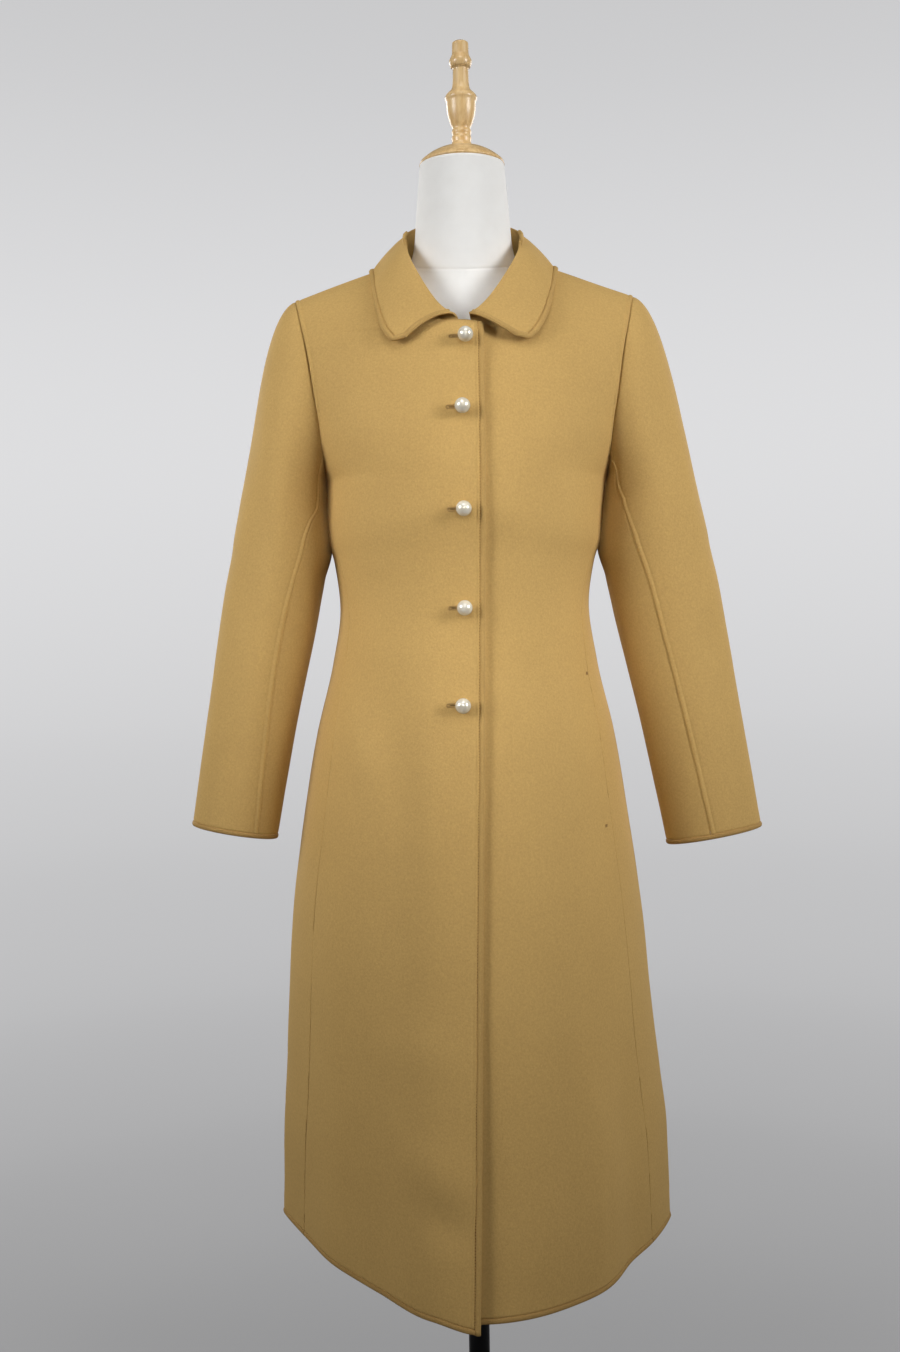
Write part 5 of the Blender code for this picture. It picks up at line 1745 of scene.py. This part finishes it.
# %% [markdown]
# ## Floor and light
# A pale sweep runs out as a floor and up as a wall, far enough away for a camera to walk round inside it.
# In the picture the wall is evenly pale and darkens towards the floor, whatever lights the coat, so the
# paper glows by how far off and how high it is, for the camera alone, and is plain grey for its bounces.
# Two large soft lamps stand well to the sides, so each sleeve is brightest along its outside and shades the
# body beside it. Weaker lamps fill in from the front, above and behind.

# %% Paper
GLOW_REACH = 6.5
OUTWARD_SHARE = 0.5
BLUE_TINT = 1.015
PAPER_GLOW = table(
    "share grey",
    (0.00, 0.21),
    (0.05, 0.28),
    (0.10, 0.38),
    (0.17, 0.48),
    (0.27, 0.55),
    (0.37, 0.63),
    (0.54, 0.71),
    (0.70, 0.70),
    (0.84, 0.62),
    (1.00, 0.56),
)
paper, tree, shader = new_material("pale_paper", 0.9)
place = tree.nodes.new("ShaderNodeTexCoord")
split = tree.nodes.new("ShaderNodeSeparateXYZ")
level = add_node(tree, "ShaderNodeVectorMath", operation="MULTIPLY")
level.inputs[1].default_value = (1.0, 1.0, 0.0)
outward_reach = add_node(tree, "ShaderNodeVectorMath", operation="LENGTH")
reached = add_node(tree, "ShaderNodeMath", operation="MULTIPLY_ADD")
reached.inputs[1].default_value = OUTWARD_SHARE
upward = add_node(tree, "ShaderNodeMapRange")
upward.inputs["From Max"].default_value = GLOW_REACH
glow = add_node(tree, "ShaderNodeValToRGB")
glow.color_ramp.interpolation = "CARDINAL"
while len(glow.color_ramp.elements) < len(PAPER_GLOW["share"]):
    glow.color_ramp.elements.new(1.0)
for stop, share, grey in zip(glow.color_ramp.elements, PAPER_GLOW["share"], PAPER_GLOW["grey"]):
    stop.position = share
    stop.color = (grey, grey, grey * BLUE_TINT, 1.0)
seen = tree.nodes.new("ShaderNodeLightPath")
dimmed = add_node(tree, "ShaderNodeMix", data_type="RGBA")
dimmed.inputs["A"].default_value = (0.0, 0.0, 0.0, 1.0)
pale = add_node(tree, "ShaderNodeMix", data_type="RGBA")
pale.inputs["A"].default_value = (0.30, 0.30, 0.31, 1.0)
pale.inputs["B"].default_value = (0.14, 0.14, 0.142, 1.0)
join(
    tree,
    (place, "Object", split, "Vector"),
    (place, "Object", level, 0),
    (level, "Vector", outward_reach, 0),
    (outward_reach, "Value", reached, 0),
    (split, "Z", reached, 2),
    (reached, 0, upward, "Value"),
    (upward, "Result", glow, "Fac"),
    (glow, "Color", dimmed, "B"),
)
for mixed, socket in ((dimmed, "Emission Color"), (pale, "Base Color")):
    join(tree, (seen, "Is Camera Ray", mixed, "Factor"), (mixed, "Result", shader, socket))
shader.inputs["Emission Strength"].default_value = 1.0
print("paper nodes:", len(tree.nodes))

# %% Sweep
SWEEP_RADIUS = 4.6
SWEEP_CURVE = 2.8
SWEEP_HEIGHT = 4.2
SWEEP_SIDES = 96
FLOOR_RADII = (0.02, 0.6, 1.2)
curve_turns = np.linspace(0, math.pi / 2, 14)
curve_radii = SWEEP_RADIUS - SWEEP_CURVE + SWEEP_CURVE * np.sin(curve_turns)
curve_heights = SWEEP_CURVE * (1 - np.cos(curve_turns))
sweep_radii = [*FLOOR_RADII, *curve_radii, SWEEP_RADIUS]
sweep_heights = [*np.zeros(len(FLOOR_RADII)), *curve_heights, SWEEP_HEIGHT]
rings = turned_rings(sweep_radii, sweep_heights, SWEEP_SIDES)
sweep_shape = bmesh.new()
# The last face would be a lid on the wall, so it is left off
add_faces(sweep_shape, rings.reshape(-1, 3).tolist(), tube_faces(*rings.shape[:2], False)[:-1])
bmesh.ops.recalc_face_normals(sweep_shape, faces=sweep_shape.faces)
add_object("pale_sweep", sweep_shape, paper)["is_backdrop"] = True
print("sweep rings:", len(rings))

# %% Lamps
LAMPS = table(
    "name x y z aim_x aim_y aim_z size spread power",
    ("key", 2.15, -1.30, 1.80, 0.00, 0.0, 1.08, 1.2, 60, 6.8),
    ("fill", -2.15, -1.30, 1.80, 0.00, 0.0, 1.06, 1.2, 60, 6.0),
    ("front", 0.0, -2.6, 1.9, -0.02, 0.0, 1.00, 0.4, 16, 0.21),
    ("overhead", 0.0, -1.2, 3.0, 0.0, -0.02, 1.45, 1.0, 40, 0.9),
    ("behind_right", -1.5, 2.1, 1.7, 0.0, 0.0, 1.00, 1.4, 60, 4.0),
    ("behind_left", 1.5, 2.1, 1.7, 0.0, 0.0, 1.00, 1.4, 60, 3.0),
)
for row, name in enumerate(LAMPS["name"]):
    lamp_data = bpy.data.lights.new(str(name), "AREA")
    lamp_data.size = float(LAMPS["size"][row])
    lamp_data.spread = math.radians(LAMPS["spread"][row])
    lamp_data.energy = float(LAMPS["power"][row])
    lamp = bpy.data.objects.new(str(name), lamp_data)
    lamp_place = Vector([LAMPS[axis][row] for axis in "xyz"])
    lamp.location = lamp_place
    aim = Vector([LAMPS[f"aim_{axis}"][row] for axis in "xyz"]) - lamp_place
    lamp.rotation_euler = aim.to_track_quat("-Z", "Y").to_euler()
    lamp.visible_camera = False
    bpy.context.scene.collection.objects.link(lamp)
world = bpy.data.worlds.new("room")
world.use_nodes = True
world.node_tree.nodes["Background"].inputs["Color"].default_value = (0.93, 0.95, 1.0, 1.0)
world.node_tree.nodes["Background"].inputs["Strength"].default_value = 0.05
bpy.context.scene.world = world
bpy.context.scene.view_settings.view_transform = "Standard"
print("lamps:", ", ".join(LAMPS["name"]))

# %% [markdown]
# ## Size and finish
# The dressed coat must stay the size of its solids. One could measure it by eye in a viewport, but numbers
# can be compared, so the box of the solids and the box of the dressed part are both printed.

# %% Print the sizes and finish
boxes = {"cad": cad_box, "visual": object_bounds()}
boxes = {name: [[float(value) for value in corner] for corner in box] for name, box in boxes.items()}
print(boxes)
